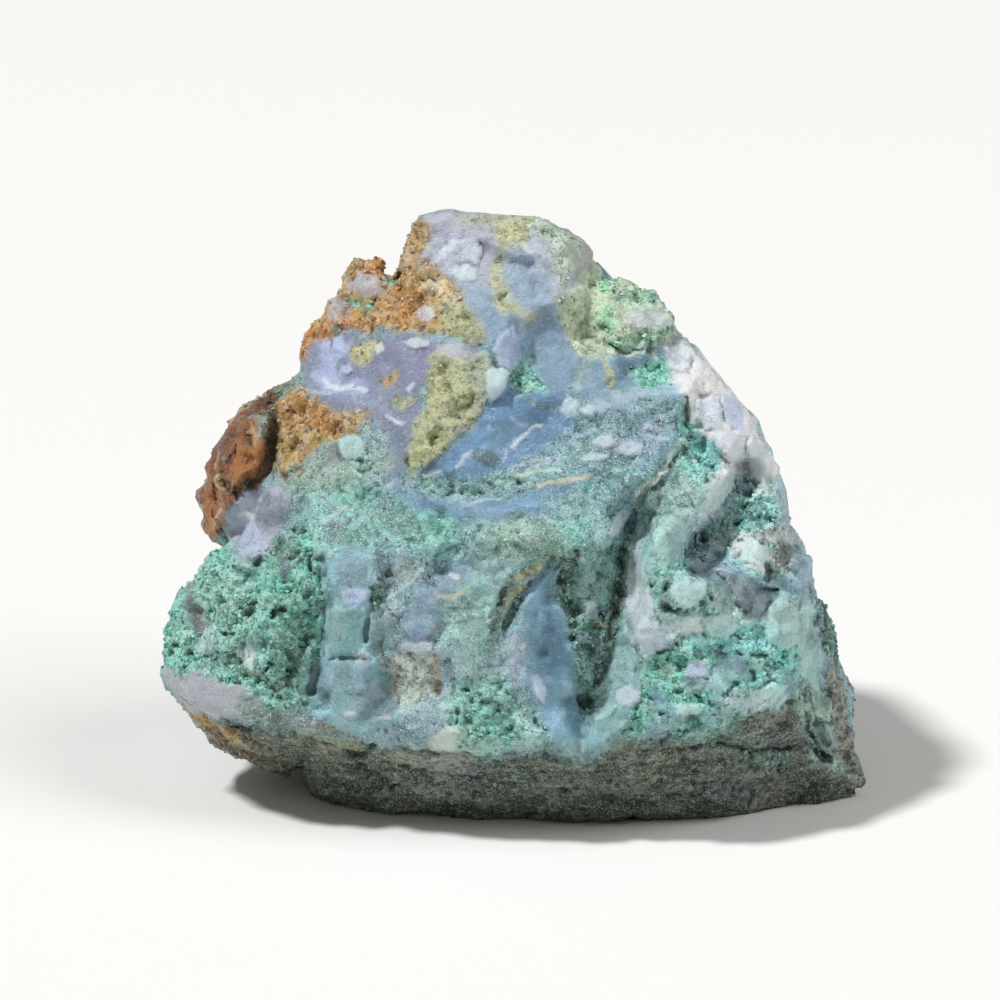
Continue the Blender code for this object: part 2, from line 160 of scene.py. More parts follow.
COATS = [
    ("cap", "chalcedony", "lilac_grey", 1.0, 1.0,
     [(396, 200), (560, 200), (612, 240), (606, 300), (560, 335), (470, 325), (420, 292), (396, 272)]),
    ("cap_foot", "chalcedony", "grey_blue", 1.0, 0.9,
     [(455, 290), (500, 285), (560, 300), (580, 330), (560, 350), (490, 345), (462, 320)]),
    ("cap_olive", "olive", "yellow_olive", 0.5, 0.85,
     [(498, 212), (535, 214), (530, 240), (512, 268), (514, 300), (526, 312), (545, 318), (535, 332),
      (505, 322), (490, 295), (497, 255)]),
    ("cap_olive_top", "olive", "olive", 0.7, 0.6,
     [(450, 205), (505, 208), (500, 230), (470, 228), (450, 222)]),
    ("cap_rust", "rust", "ochre", 0.4, 0.9,
     [(402, 218), (419, 214), (428, 232), (424, 256), (412, 280), (398, 282), (394, 262)]),
    ("triangle", "chalcedony", "grey_blue", 0.35, 0.85,
     [(506, 250), (518, 238), (546, 262), (548, 284), (532, 304), (508, 302), (499, 276)]),
    ("cap_green", "moss", "crown_lime", 0.6, 0.7,
     [(520, 212), (560, 222), (590, 238), (578, 256), (560, 290), (556, 262), (538, 236)]),
    ("grey_facet", "chalcedony", "facet_grey", 0.4, 0.8,
     [(566, 228), (594, 242), (604, 268), (598, 302), (580, 300), (572, 268), (562, 246)]),
    ("crown", "olive", "crown_lime", 0.6, 0.95,
     [(596, 262), (640, 286), (664, 294), (684, 324), (676, 342), (640, 348), (604, 362), (576, 370),
      (562, 346), (556, 300), (578, 288)]),
    ("crown_grey", "chalcedony", "lilac_grey", 0.6, 0.7,
     [(634, 306), (664, 306), (672, 324), (644, 334), (620, 326)]),
    ("crown_side", "druse", "side_grey", 0.8, 0.8,
     [(662, 330), (684, 330), (712, 356), (706, 366), (676, 356), (660, 348)]),
    ("crown_spot_left", "moss", "crown_green", 0.4, 0.95,
     [(598, 274), (608, 270), (616, 282), (610, 294), (600, 294)]),
    ("crown_spot_middle", "moss", "crown_green", 0.5, 0.8,
     [(596, 310), (612, 304), (622, 322), (610, 334), (598, 330)]),
    ("crown_spot_right", "moss", "crown_mint", 0.5, 0.8,
     [(620, 290), (650, 288), (664, 300), (640, 306), (622, 304)]),
    ("crown_spot_low", "moss", "crown_mint", 0.4, 0.8,
     [(600, 338), (640, 334), (672, 326), (680, 332), (650, 344), (606, 352)]),
    ("crown_pit_left", "moss", "dark_moss", 0.25, 0.9,
     [(618, 292), (626, 292), (628, 300), (620, 303)]),
    ("crown_pit_right", "moss", "dark_moss", 0.25, 0.9,
     [(642, 290), (650, 290), (652, 298), (644, 300)]),
    ("crown_pit_low", "moss", "dark_moss", 0.2, 0.8,
     [(658, 330), (672, 328), (674, 333), (660, 336)]),

    ("rust_slope", "rust", "ochre", 0.5, 1.0,
     [(328, 292), (352, 262), (370, 246), (388, 254), (400, 266), (432, 266), (456, 284), (466, 310),
      (484, 330), (478, 344), (440, 332), (410, 336), (385, 332), (352, 326), (326, 342), (306, 362),
      (292, 362), (300, 328)]),
    ("rust_edge", "rust", "orange", 0.5, 0.75,
     [(300, 356), (306, 330), (324, 318), (352, 318), (386, 326), (380, 334), (348, 330), (322, 342),
      (308, 362)]),
    ("rust_knob", "rust", "orange", 0.5, 0.6,
     [(352, 268), (370, 248), (386, 256), (384, 276), (366, 280)]),
    ("rust_middle", "rust", "orange", 0.6, 0.45,
     [(380, 290), (420, 284), (430, 300), (410, 326), (382, 320)]),
    ("rust_tan", "rust", "tan", 0.5, 0.85,
     [(424, 272), (448, 278), (462, 300), (456, 320), (438, 300), (420, 290)]),
    ("rust_olive", "olive", "olive", 0.5, 0.9,
     [(452, 302), (472, 312), (486, 334), (470, 344), (442, 334), (436, 318)]),
    ("rust_lilac_high", "chalcedony", "lilac_grey", 0.4, 0.75,
     [(348, 278), (366, 272), (382, 282), (380, 296), (362, 296), (348, 290)]),
    ("rust_lilac_low", "chalcedony", "lilac_grey", 0.4, 0.7,
     [(326, 300), (340, 296), (350, 306), (344, 320), (328, 320)]),
    ("knob_notch", "rust", "dark_rust", 0.3, 0.9,
     [(381, 258), (389, 256), (392, 268), (384, 272)]),
    ("gem_high", "moss", "deep_moss", 0.2, 0.9, [(386, 276), (393, 277), (392, 285), (386, 284)]),
    ("gem_middle", "moss", "deep_moss", 0.2, 0.9, [(363, 303), (376, 303), (377, 313), (366, 314)]),
    ("gem_left", "moss", "moss", 0.2, 0.9, [(349, 301), (357, 301), (357, 309), (350, 309)]),
    ("gem_low", "moss", "deep_moss", 0.2, 0.8, [(329, 326), (340, 325), (340, 331), (331, 332)]),

    ("lavender", "chalcedony", "lavender", 0.5, 1.0,
     [(318, 340), (350, 332), (366, 342), (392, 338), (420, 338), (446, 346), (436, 372), (416, 398),
      (420, 424), (412, 450), (404, 478), (392, 470), (386, 440), (372, 418), (345, 412), (318, 404),
      (306, 386), (300, 370), (308, 352)]),
    ("lavender_dusk", "chalcedony", "dusk_lavender", 0.8, 0.7,
     [(384, 338), (420, 340), (446, 348), (430, 384), (408, 398), (398, 372), (380, 362)]),
    ("lavender_bright", "chalcedony", "bright_lavender", 0.4, 0.7,
     [(320, 342), (344, 336), (354, 350), (338, 362), (342, 382), (366, 388), (362, 396), (322, 392),
      (312, 378), (322, 366)]),
    ("lavender_ochre", "rust", "yellow_olive", 0.3, 0.9,
     [(352, 346), (366, 338), (380, 344), (374, 358), (358, 368), (350, 360)]),
    ("lavender_speck_high", "olive", "ochre", 0.25, 0.8, [(380, 376), (396, 374), (400, 386), (386, 390)]),
    ("lavender_speck_low", "olive", "olive", 0.25, 0.8, [(396, 398), (410, 396), (410, 408), (398, 410)]),
    ("lavender_low", "chalcedony", "dusk_blue", 0.5, 0.9,
     [(388, 430), (402, 424), (412, 440), (408, 478), (396, 492), (388, 470)]),

    ("left_teal", "moss", "under_olive", 0.4, 0.9,
     [(244, 402), (264, 382), (282, 366), (298, 364), (300, 384), (284, 398), (262, 404)]),
    ("left_dark", "iron", "dark_rust", 0.3, 0.9,
     [(244, 402), (262, 390), (276, 392), (272, 408), (252, 416), (240, 412)]),
    ("lobe", "iron", "rust", 0.4, 1.0,
     [(196, 470), (208, 438), (230, 410), (252, 404), (274, 404), (300, 404), (278, 432), (272, 462),
      (258, 484), (236, 500), (226, 530), (212, 552), (198, 536), (192, 500)]),
    ("lobe_orange", "iron", "lobe_orange", 0.4, 0.85,
     [(228, 476), (240, 450), (256, 448), (266, 466), (250, 486), (232, 494)]),
    ("lobe_orange_top", "iron", "orange", 0.4, 0.5,
     [(232, 430), (250, 420), (256, 436), (244, 446), (230, 444)]),
    ("lobe_dark", "iron", "dark_rust", 0.4, 0.7,
     [(206, 454), (216, 430), (230, 430), (224, 462), (208, 484)]),
    ("lobe_green", "moss", "mid_green", 0.4, 0.6, [(256, 412), (272, 408), (270, 446), (260, 448)]),
    ("lobe_tip", "iron", "beige", 0.4, 0.85, [(208, 518), (222, 500), (230, 508), (222, 540), (208, 546)]),
    ("ochre_field", "rust", "ochre", 0.5, 1.0,
     [(278, 402), (300, 388), (318, 402), (345, 412), (374, 416), (362, 432), (340, 440), (326, 444),
      (306, 464), (290, 486), (278, 474), (274, 428)]),
    ("ochre_field_orange", "rust", "orange", 0.5, 0.4,
     [(284, 404), (306, 398), (330, 412), (350, 420), (330, 430), (300, 430), (284, 424)]),
    ("brown_fade", "druse", "olive_teal", 0.8, 0.9,
     [(300, 468), (326, 446), (344, 456), (364, 468), (380, 440), (396, 470), (360, 490), (320, 494),
      (290, 500), (278, 488)]),
    ("crystal_tail", "moss", "bright_mint", 0.3, 0.85, [(350, 460), (364, 454), (370, 438), (372, 462), (360, 484)]),

    ("olive_patch", "olive", "olive", 0.4, 1.0,
     [(430, 362), (444, 346), (476, 350), (490, 364), (490, 396), (476, 422), (452, 446), (434, 464),
      (414, 480), (406, 466), (414, 430), (426, 400)]),
    ("olive_bright", "olive", "yellow_olive", 0.6, 0.6,
     [(436, 372), (460, 362), (464, 384), (450, 420), (428, 452), (420, 440), (432, 404)]),
    ("olive_brown", "olive", "brown_grey", 0.5, 0.7, [(468, 366), (490, 366), (488, 398), (472, 404)]),
    ("olive_top", "chalcedony", "lilac_grey", 0.4, 0.8, [(438, 342), (482, 350), (480, 362), (440, 356)]),

    ("blue_facet", "chalcedony", "slate_blue", 0.5, 0.95,
     [(518, 330), (546, 314), (566, 330), (578, 350), (576, 378), (560, 398), (530, 396), (516, 372),
      (524, 350)]),
    ("facet_left", "chalcedony", "slate_blue", 0.8, 0.85,
     [(478, 312), (520, 310), (530, 330), (520, 350), (496, 332), (482, 334)]),
    ("facet_rim", "olive", "crown_lime", 0.25, 0.7,
     [(556, 318), (564, 320), (578, 342), (586, 366), (580, 392), (574, 392), (577, 362), (570, 340)]),
    ("facet_green", "moss", "moss", 0.5, 0.8,
     [(514, 366), (530, 360), (546, 390), (530, 404), (510, 394)]),
    ("ledge_blue", "chalcedony", "slate_blue", 0.8, 0.9,
     [(576, 356), (606, 358), (650, 350), (682, 354), (688, 376), (640, 388), (604, 398), (576, 396)]),
    ("ledge_green", "moss", "bright_moss", 0.5, 0.75,
     [(628, 374), (650, 360), (682, 362), (690, 382), (652, 392), (634, 386)]),
    ("ledge_olive", "olive", "yellow_olive", 0.2, 0.8, [(598, 362), (604, 362), (614, 388), (608, 390)]),

    ("pool", "chalcedony", "pool_blue", 0.4, 1.0,
     [(490, 402), (506, 388), (524, 392), (556, 396), (578, 412), (572, 432), (540, 452), (508, 468),
      (470, 480), (440, 480), (424, 472), (432, 458), (458, 442), (478, 422)]),
    ("pool_light", "chalcedony", "light_blue", 0.6, 0.7,
     [(456, 468), (478, 446), (506, 428), (528, 424), (516, 444), (488, 462)]),
    ("pool_edge", "druse", "mid_green", 0.5, 0.85,
     [(420, 480), (440, 484), (474, 486), (512, 476), (552, 462), (600, 448), (640, 430), (640, 440),
      (600, 462), (556, 478), (520, 490), (470, 496), (430, 494)]),
    ("stream", "chalcedony", "stream_blue", 0.6, 0.9,
     [(392, 486), (424, 496), (470, 502), (520, 494), (566, 484), (620, 466), (690, 438), (694, 446),
      (630, 478), (566, 502), (520, 516), (480, 526), (440, 522), (406, 510)]),
    ("stream_light", "chalcedony", "light_blue", 0.5, 0.6,
     [(440, 508), (480, 508), (530, 498), (540, 502), (490, 516), (450, 516)]),

    ("mid_plane", "druse", "druse_grey", 0.8, 0.95,
     [(560, 446), (600, 424), (640, 408), (682, 404), (684, 440), (664, 468), (640, 492), (632, 516),
      (600, 516), (560, 510), (540, 500), (590, 480), (560, 466)]),
    ("mid_green_patch", "druse", "deep_moss", 0.8, 0.5,
     [(590, 476), (636, 460), (640, 490), (620, 512), (584, 520), (560, 506)]),
    ("mid_blue_patch", "druse", "slate_blue", 0.6, 0.6,
     [(560, 440), (600, 436), (650, 430), (640, 450), (600, 462), (570, 462)]),
    ("pale_line", "quartz", "line_grey", 0.3, 0.85,
     [(574, 402), (612, 394), (648, 388), (688, 384), (690, 394), (650, 400), (612, 408), (578, 416)]),
    ("mid_right", "druse", "mid_grey_green", 0.7, 0.8,
     [(652, 480), (690, 456), (722, 476), (704, 512), (690, 536), (660, 548), (640, 540), (640, 504)]),
    ("mid_right_green", "moss", "bright_moss", 0.6, 0.75,
     [(684, 404), (696, 420), (714, 442), (722, 466), (700, 484), (674, 476), (680, 440)]),
    ("mid_lower_right", "moss", "moss", 0.7, 0.6,
     [(640, 540), (672, 530), (690, 552), (690, 580), (660, 586), (646, 566)]),

    ("mid_left", "druse", "moss", 0.8, 0.75,
     [(284, 502), (320, 488), (392, 494), (440, 520), (500, 524), (600, 516), (624, 520), (606, 560),
      (560, 566), (500, 566), (440, 560), (380, 548), (320, 556), (292, 560), (276, 536)]),
    ("mid_olive", "druse", "olive", 1.0, 0.4,
     [(480, 520), (556, 520), (566, 556), (510, 566), (486, 548)]),
    ("mid_left_grey", "druse", "dusk_lavender", 0.7, 0.5,
     [(270, 500), (300, 494), (306, 540), (288, 580), (276, 570)]),

    ("quartz", "quartz", "white_quartz", 0.35, 1.0,
     [(662, 350), (690, 350), (714, 362), (732, 386), (746, 406), (758, 432), (782, 470), (776, 482),
      (750, 478), (738, 470), (724, 460), (706, 444), (692, 424), (684, 400), (668, 380)]),
    ("quartz_beige", "quartz", "warm_quartz", 0.5, 0.8,
     [(686, 364), (714, 368), (722, 386), (702, 398), (684, 388)]),
    ("quartz_lilac", "quartz", "pale_lilac", 0.4, 0.8,
     [(694, 400), (714, 400), (724, 420), (708, 434), (694, 422)]),
    ("quartz_tail", "quartz", "white_quartz", 0.4, 0.9,
     [(722, 458), (742, 456), (744, 474), (730, 498), (708, 522), (696, 516), (712, 486)]),
    ("quartz_edge", "rust", "tan", 0.3, 0.5,
     [(706, 352), (722, 368), (736, 390), (730, 392), (714, 370), (702, 358)]),

    ("left_lilac", "chalcedony", "lilac_grey", 0.4, 1.0,
     [(222, 546), (230, 514), (248, 490), (276, 484), (292, 498), (278, 530), (264, 556), (240, 554)]),
    ("left_violet", "glass", "dusk_violet", 0.5, 0.6,
     [(262, 496), (284, 492), (284, 520), (268, 534), (256, 520)]),
    ("left_moss", "moss", "moss", 0.5, 1.0,
     [(196, 552), (222, 538), (240, 552), (264, 556), (280, 540), (300, 528), (322, 548), (326, 600),
      (320, 650), (308, 700), (290, 712), (250, 700), (200, 680), (160, 670), (148, 650), (160, 620),
      (178, 596), (180, 570)]),
    ("left_moss_deep", "moss", "deep_moss", 0.6, 0.6,
     [(262, 560), (300, 540), (322, 556), (318, 640), (300, 660), (280, 620), (262, 600)]),
    ("left_moss_pale", "moss", "pale_moss", 0.8, 0.6,
     [(188, 560), (240, 570), (262, 610), (250, 660), (200, 660), (166, 650), (180, 604)]),
    ("left_shade", "moss", "dark_moss", 0.6, 0.8,
     [(268, 660), (286, 620), (306, 610), (314, 650), (302, 692), (280, 698)]),
    ("left_pit", "glass", "violet_grey", 0.4, 0.7,
     [(184, 590), (196, 598), (208, 618), (204, 634), (192, 622), (184, 606)]),
    ("smooth_band", "chalcedony", "band_grey", 0.3, 1.0,
     [(156, 668), (190, 672), (230, 684), (262, 698), (270, 716), (230, 718), (190, 712), (160, 698)]),
    ("band_right", "druse", "under_green", 0.8, 0.85,
     [(246, 698), (300, 708), (350, 730), (350, 740), (300, 732), (240, 720)]),

    ("glass_column", "glass", "glass_green", 0.5, 0.95,
     [(322, 556), (372, 544), (376, 590), (368, 640), (396, 684), (402, 722), (360, 732), (316, 718),
      (308, 692), (322, 650), (326, 606)]),
    ("glass_blue", "glass", "grey_blue", 0.5, 0.7,
     [(334, 562), (360, 552), (372, 580), (366, 604), (340, 602)]),
    ("glass_low", "glass", "grey_blue", 0.6, 0.55,
     [(320, 684), (346, 662), (390, 684), (398, 714), (350, 720)]),
    ("grey_block", "druse", "mid_green", 0.4, 0.8, [(372, 606), (400, 602), (404, 640), (384, 654), (370, 644)]),
    ("block_shade", "moss", "dark_moss", 0.3, 0.25, [(370, 620), (374, 588), (384, 590), (378, 618)]),
    ("centre_blue", "glass", "slate_blue", 0.5, 0.9,
     [(402, 634), (408, 608), (428, 590), (446, 570), (470, 548), (480, 566), (464, 596), (456, 632),
      (424, 648)]),
    ("centre_deep_blue", "glass", "deep_blue", 0.5, 0.6,
     [(406, 630), (420, 610), (450, 606), (450, 636), (422, 644)]),
    ("gold", "druse", "gold", 0.4, 0.65,
     [(384, 658), (404, 650), (438, 652), (440, 690), (420, 702), (400, 708), (392, 690)]),
    ("gold_low", "quartz", "cream", 0.6, 0.15, [(398, 698), (440, 690), (450, 712), (420, 724), (396, 716)]),
    ("centre_green", "druse", "pale_moss", 0.8, 0.7,
     [(444, 600), (480, 580), (510, 600), (512, 650), (500, 700), (480, 734), (448, 728), (440, 660)]),
    ("centre_grey", "druse", "grey_blue", 0.7, 0.6, [(440, 650), (460, 640), (466, 680), (446, 690)]),
    ("centre_moss", "moss", "moss", 0.5, 0.65,
     [(452, 690), (478, 676), (508, 680), (520, 714), (510, 742), (470, 744), (450, 730)]),
    ("ochre_vein", "rust", "vein_olive", 0.25, 0.75,
     [(544, 556), (552, 556), (536, 576), (520, 590), (508, 606), (498, 628), (492, 628), (502, 600),
      (518, 580)]),
    ("vein_shade", "moss", "dark_moss", 0.25, 0.25,
     [(548, 560), (554, 562), (536, 582), (518, 602), (504, 626), (498, 630), (512, 598), (530, 580)]),

    ("blue_column", "chalcedony", "deep_blue", 0.5, 0.95,
     [(520, 620), (530, 580), (546, 566), (560, 600), (570, 650), (580, 700), (590, 736), (546, 742),
      (540, 700), (528, 660)]),
    ("column_light", "chalcedony", "light_blue", 0.5, 0.6,
     [(528, 670), (544, 680), (560, 716), (580, 738), (552, 742), (534, 716)]),
    ("column_left", "druse", "light_blue", 0.7, 0.5, [(496, 632), (524, 610), (534, 660), (528, 690), (500, 670)]),
    ("hollow", "moss", "dark_moss", 0.5, 0.9,
     [(556, 566), (584, 546), (612, 536), (626, 560), (618, 600), (614, 650), (594, 690), (580, 702),
      (572, 650), (564, 610)]),
    ("hollow_teal", "druse", "mid_green", 0.7, 0.75,
     [(572, 560), (596, 548), (612, 560), (606, 600), (590, 610), (578, 590)]),
    ("hollow_low", "moss", "bright_mint", 0.7, 0.6,
     [(588, 660), (606, 650), (612, 680), (596, 720), (584, 716)]),
    ("orange_speck", "rust", "tan", 0.1, 1.0, [(594, 621), (600, 619), (603, 625), (597, 628)]),

    ("ridge", "glass", "pale_teal", 0.7, 0.8,
     [(624, 560), (644, 544), (662, 556), (654, 600), (650, 640), (644, 664), (672, 660), (650, 690),
      (612, 732), (592, 736), (602, 690), (614, 650), (620, 610)]),
    ("ridge_lilac", "glass", "white_quartz", 0.6, 0.75,
     [(622, 584), (636, 572), (648, 596), (652, 632), (642, 664), (630, 644)]),
    ("ridge_low", "glass", "ridge_teal", 0.6, 0.6,
     [(590, 720), (616, 700), (640, 690), (650, 706), (620, 738), (592, 742)]),
    ("right_upper", "moss", "bright_mint", 0.6, 0.95,
     [(736, 496), (752, 482), (782, 492), (794, 520), (800, 566), (772, 576), (744, 560), (724, 552),
      (738, 524)]),
    ("right_plate", "quartz", "mint_quartz", 0.6, 0.7,
     [(728, 548), (756, 536), (774, 552), (764, 574), (740, 568)]),
    ("right_middle", "druse", "pale_moss", 0.7, 0.9,
     [(660, 580), (700, 570), (740, 590), (770, 610), (800, 600), (812, 640), (780, 640), (700, 640),
      (660, 640), (650, 610)]),
    ("violet_facet", "glass", "dusk_violet", 0.35, 0.9,
     [(694, 562), (720, 566), (756, 582), (770, 598), (758, 622), (740, 610), (716, 590), (698, 576)]),
    ("grey_plate", "quartz", "mid_grey_green", 0.4, 0.8,
     [(672, 618), (700, 616), (740, 616), (742, 632), (704, 638), (676, 632)]),
    ("right_moss", "moss", "deep_moss", 0.5, 0.9,
     [(648, 656), (690, 636), (734, 624), (776, 612), (804, 622), (812, 660), (800, 696), (744, 686),
      (716, 706), (660, 712), (636, 736), (612, 740), (636, 700)]),
    ("right_moss_light", "moss", "moss", 0.7, 0.6,
     [(680, 640), (740, 628), (760, 650), (740, 680), (700, 690), (670, 680)]),
    ("right_violet_low", "glass", "violet_grey", 0.4, 0.8,
     [(716, 658), (744, 652), (750, 668), (724, 684), (706, 682)]),
    ("right_edge", "glass", "grey_blue", 0.6, 0.85,
     [(786, 500), (802, 530), (814, 590), (824, 640), (828, 690), (812, 704), (802, 680), (800, 636),
      (796, 590), (788, 550)]),
    ("right_edge_mint", "quartz", "bright_mint", 0.6, 0.5,
     [(796, 604), (812, 600), (818, 650), (816, 690), (802, 680)]),
    ("cleft", "moss", "shade", 0.4, 0.65,
     [(742, 468), (748, 486), (730, 516), (724, 546), (702, 562), (684, 562), (680, 546), (700, 532),
      (714, 508), (730, 488)]),
    ("cleft_grey", "druse", "brown_grey", 0.3, 0.8, [(714, 528), (722, 516), (722, 544), (708, 550)]),
    ("mid_crack", "moss", "mid_green", 0.2, 0.5,
     [(684, 438), (688, 444), (668, 466), (646, 490), (640, 512), (626, 544), (618, 544), (632, 508),
      (640, 486), (664, 458)]),
    ("quartz_shade", "moss", "deep_moss", 0.3, 0.35, [(680, 398), (688, 398), (690, 440), (682, 440)]),
    ("moss_violet_left", "glass", "brown_violet", 0.3, 0.7,
     [(182, 570), (190, 574), (198, 596), (212, 616), (214, 630), (200, 632), (190, 612), (186, 594)]),
    ("moss_violet_top", "glass", "dusk_violet", 0.3, 1.0, [(280, 556), (290, 556), (294, 572), (284, 580), (280, 570)]),
    ("moss_lilac_top", "glass", "lilac_grey", 0.3, 0.7, [(236, 546), (262, 552), (268, 562), (250, 566), (238, 558)]),
    ("moss_lilac_low", "glass", "lilac_grey", 0.3, 0.6, [(198, 636), (214, 634), (216, 648), (202, 652)]),
    ("moss_grey_low", "glass", "slate_grey", 0.3, 0.6, [(246, 636), (262, 634), (264, 650), (250, 652)]),
    ("moss_cream", "quartz", "warm_quartz", 0.3, 0.75, [(238, 648), (248, 644), (258, 654), (254, 664), (242, 660)]),
    ("moss_cream_high", "quartz", "cream", 0.2, 0.6, [(264, 600), (274, 600), (274, 608), (266, 608)]),
    ("moss_pit_a", "glass", "shade", 0.15, 0.9, [(274, 610), (284, 606), (286, 616), (276, 619)]),
    ("moss_pit_b", "glass", "dark_moss", 0.15, 0.9, [(234, 566), (246, 570), (244, 575), (234, 572)]),
    ("moss_pit_c", "glass", "dark_moss", 0.15, 0.9, [(256, 558), (264, 556), (262, 566), (256, 566)]),
    ("moss_pit_d", "glass", "dark_moss", 0.15, 0.8, [(244, 612), (256, 608), (256, 615), (246, 618)]),
    ("moss_pit_e", "glass", "dark_moss", 0.15, 0.8, [(308, 556), (314, 556), (314, 572), (309, 572)]),
    ("moss_pit_f", "glass", "dark_moss", 0.15, 0.7, [(226, 630), (236, 630), (234, 637), (227, 636)]),
    ("moss_pit_g", "glass", "dark_moss", 0.15, 0.7, [(246, 584), (258, 584), (256, 590), (247, 590)]),
    ("moss_brown_low", "moss", "under_olive", 0.3, 0.85, [(240, 668), (260, 662), (264, 674), (246, 678)]),
    ("moss_mint_foot", "moss", "bright_mint", 0.2, 0.8, [(290, 694), (298, 690), (304, 704), (296, 708)]),
    ("mid_dark_left", "druse", "under_green", 0.4, 0.6, [(276, 538), (298, 534), (304, 552), (286, 566), (274, 556)]),
    ("mid_dark_middle", "druse", "dusk_violet", 0.4, 0.8, [(324, 522), (350, 520), (354, 540), (330, 544)]),
    ("mid_dark_right", "druse", "block_grey", 0.5, 0.6, [(380, 500), (412, 512), (410, 536), (386, 532), (372, 516)]),
    ("mid_bright_left", "moss", "bright_moss", 0.4, 0.3, [(330, 490), (370, 480), (384, 492), (360, 504), (334, 506)]),
    ("mid_bright_low", "moss", "bright_moss", 0.4, 0.5, [(424, 514), (446, 508), (458, 530), (440, 544), (424, 534)]),
    ("crystal_left_shade", "chalcedony", "brown_violet", 0.3, 0.7,
     [(330, 444), (339, 440), (344, 454), (336, 466), (324, 462)]),
    ("lobe_knob", "iron", "lobe_orange", 0.3, 0.9,
     [(231, 426), (243, 420), (254, 428), (256, 442), (248, 450), (236, 448)]),
    ("lobe_knob_heart", "iron", "dark_rust", 0.3, 0.8, [(241, 429), (250, 430), (251, 441), (243, 443)]),
    ("lobe_violet", "iron", "brown_violet", 0.3, 0.8, [(212, 426), (222, 424), (223, 448), (214, 454), (208, 446)]),
    ("lobe_top_brown", "iron", "dark_rust", 0.3, 0.8, [(254, 390), (274, 388), (276, 402), (260, 410), (250, 402)]),

    ("upper_column_blue", "glass", "slate_blue", 0.4, 0.7,
     [(336, 560), (350, 552), (366, 560), (362, 578), (350, 588), (336, 584)]),
    ("column_violet", "glass", "violet_grey", 0.5, 0.6,
     [(360, 688), (380, 686), (396, 700), (394, 716), (370, 720), (358, 706)]),
    ("wedge_brown", "druse", "brown_grey", 0.4, 0.7, [(388, 566), (404, 562), (416, 572), (412, 584), (396, 588)]),
    ("wedge_cream", "quartz", "white_quartz", 0.3, 0.7, [(376, 608), (396, 602), (398, 613), (384, 618)]),
    ("smooth_green", "glass", "pale_teal", 0.6, 0.7,
     [(470, 556), (500, 556), (516, 576), (500, 604), (476, 612), (464, 588)]),
    ("moss_hole_a", "glass", "shade", 0.15, 0.7, [(486, 694), (494, 696), (492, 706), (486, 704)]),
    ("moss_hole_b", "glass", "shade", 0.15, 0.7, [(479, 714), (490, 716), (488, 726), (480, 724)]),
    ("moss_hole_c", "glass", "shade", 0.15, 0.6, [(500, 706), (508, 708), (506, 717), (500, 714)]),
    ("moss_hole_d", "glass", "shade", 0.15, 0.7, [(462, 730), (472, 728), (474, 738), (464, 740)]),
    ("moss_hole_e", "glass", "shade", 0.15, 0.6, [(484, 736), (492, 738), (488, 745), (483, 742)]),
    ("moss_hole_f", "moss", "deep_moss", 0.2, 0.8, [(452, 682), (462, 680), (464, 694), (455, 696)]),
    ("column_lilac", "glass", "lilac_grey", 0.6, 0.6,
     [(498, 640), (516, 632), (528, 652), (526, 684), (510, 690), (500, 668)]),
    ("column_heart", "chalcedony", "column_heart", 0.6, 0.8,
     [(538, 604), (552, 606), (562, 640), (567, 666), (552, 676), (543, 650)]),
    ("column_top", "chalcedony", "light_blue", 0.5, 0.6, [(526, 580), (542, 576), (550, 600), (540, 620), (528, 604)]),
    ("column_pale_side", "quartz", "grey_quartz", 0.3, 0.5, [(562, 684), (574, 682), (577, 690), (565, 693)]),
    ("hollow_speckled", "druse", "light_blue", 0.4, 0.6, [(578, 632), (600, 634), (598, 662), (582, 660)]),
    ("foot_mint", "moss", "pale_moss", 0.5, 0.6, [(520, 700), (538, 708), (546, 738), (520, 744), (512, 724)]),

    ("right_moss_high", "moss", "deep_moss", 0.4, 0.8,
     [(738, 500), (752, 492), (774, 500), (778, 524), (764, 532), (744, 530), (734, 524)]),
    ("right_pit_a", "moss", "shade", 0.2, 0.9, [(742, 505), (752, 499), (759, 504), (752, 512), (744, 512)]),
    ("right_pit_b", "moss", "dark_moss", 0.15, 0.9, [(734, 519), (743, 518), (744, 527), (736, 528)]),
    ("right_pit_c", "moss", "dark_moss", 0.15, 0.8, [(759, 518), (766, 518), (765, 527), (760, 526)]),
    ("right_pit_d", "moss", "deep_moss", 0.15, 0.9, [(764, 544), (776, 542), (774, 550), (766, 550)]),
    ("right_lilac", "glass", "white_quartz", 0.4, 0.75, [(750, 528), (776, 528), (800, 532), (804, 544), (780, 542)]),
    ("right_slate", "glass", "slate_grey", 0.4, 0.85,
     [(777, 482), (791, 486), (800, 512), (804, 532), (792, 534), (779, 528), (776, 506)]),
    ("right_slate_low", "glass", "slate_grey", 0.4, 0.8, [(798, 560), (809, 570), (815, 600), (802, 602), (794, 584)]),
    ("right_green_low", "druse", "pale_teal", 0.5, 0.7,
     [(764, 606), (780, 592), (800, 600), (806, 620), (790, 632), (770, 628)]),
    ("right_bright_a", "moss", "bright_moss", 0.3, 0.7, [(696, 602), (716, 604), (720, 618), (704, 622), (694, 612)]),
    ("right_bright_b", "moss", "bright_moss", 0.3, 0.7, [(652, 656), (680, 640), (704, 634), (700, 646), (672, 656)]),
    ("right_bright_c", "moss", "bright_moss", 0.3, 0.7, [(652, 668), (676, 664), (680, 682), (664, 690), (650, 682)]),
    ("right_bright_d", "moss", "bright_moss", 0.3, 0.7, [(746, 662), (764, 640), (776, 660), (782, 684), (758, 688)]),
    ("right_dark_a", "glass", "shade", 0.2, 0.8, [(748, 652), (760, 650), (764, 660), (752, 662)]),
    ("right_dark_b", "glass", "dark_moss", 0.2, 0.8, [(746, 670), (756, 668), (756, 680), (748, 680)]),
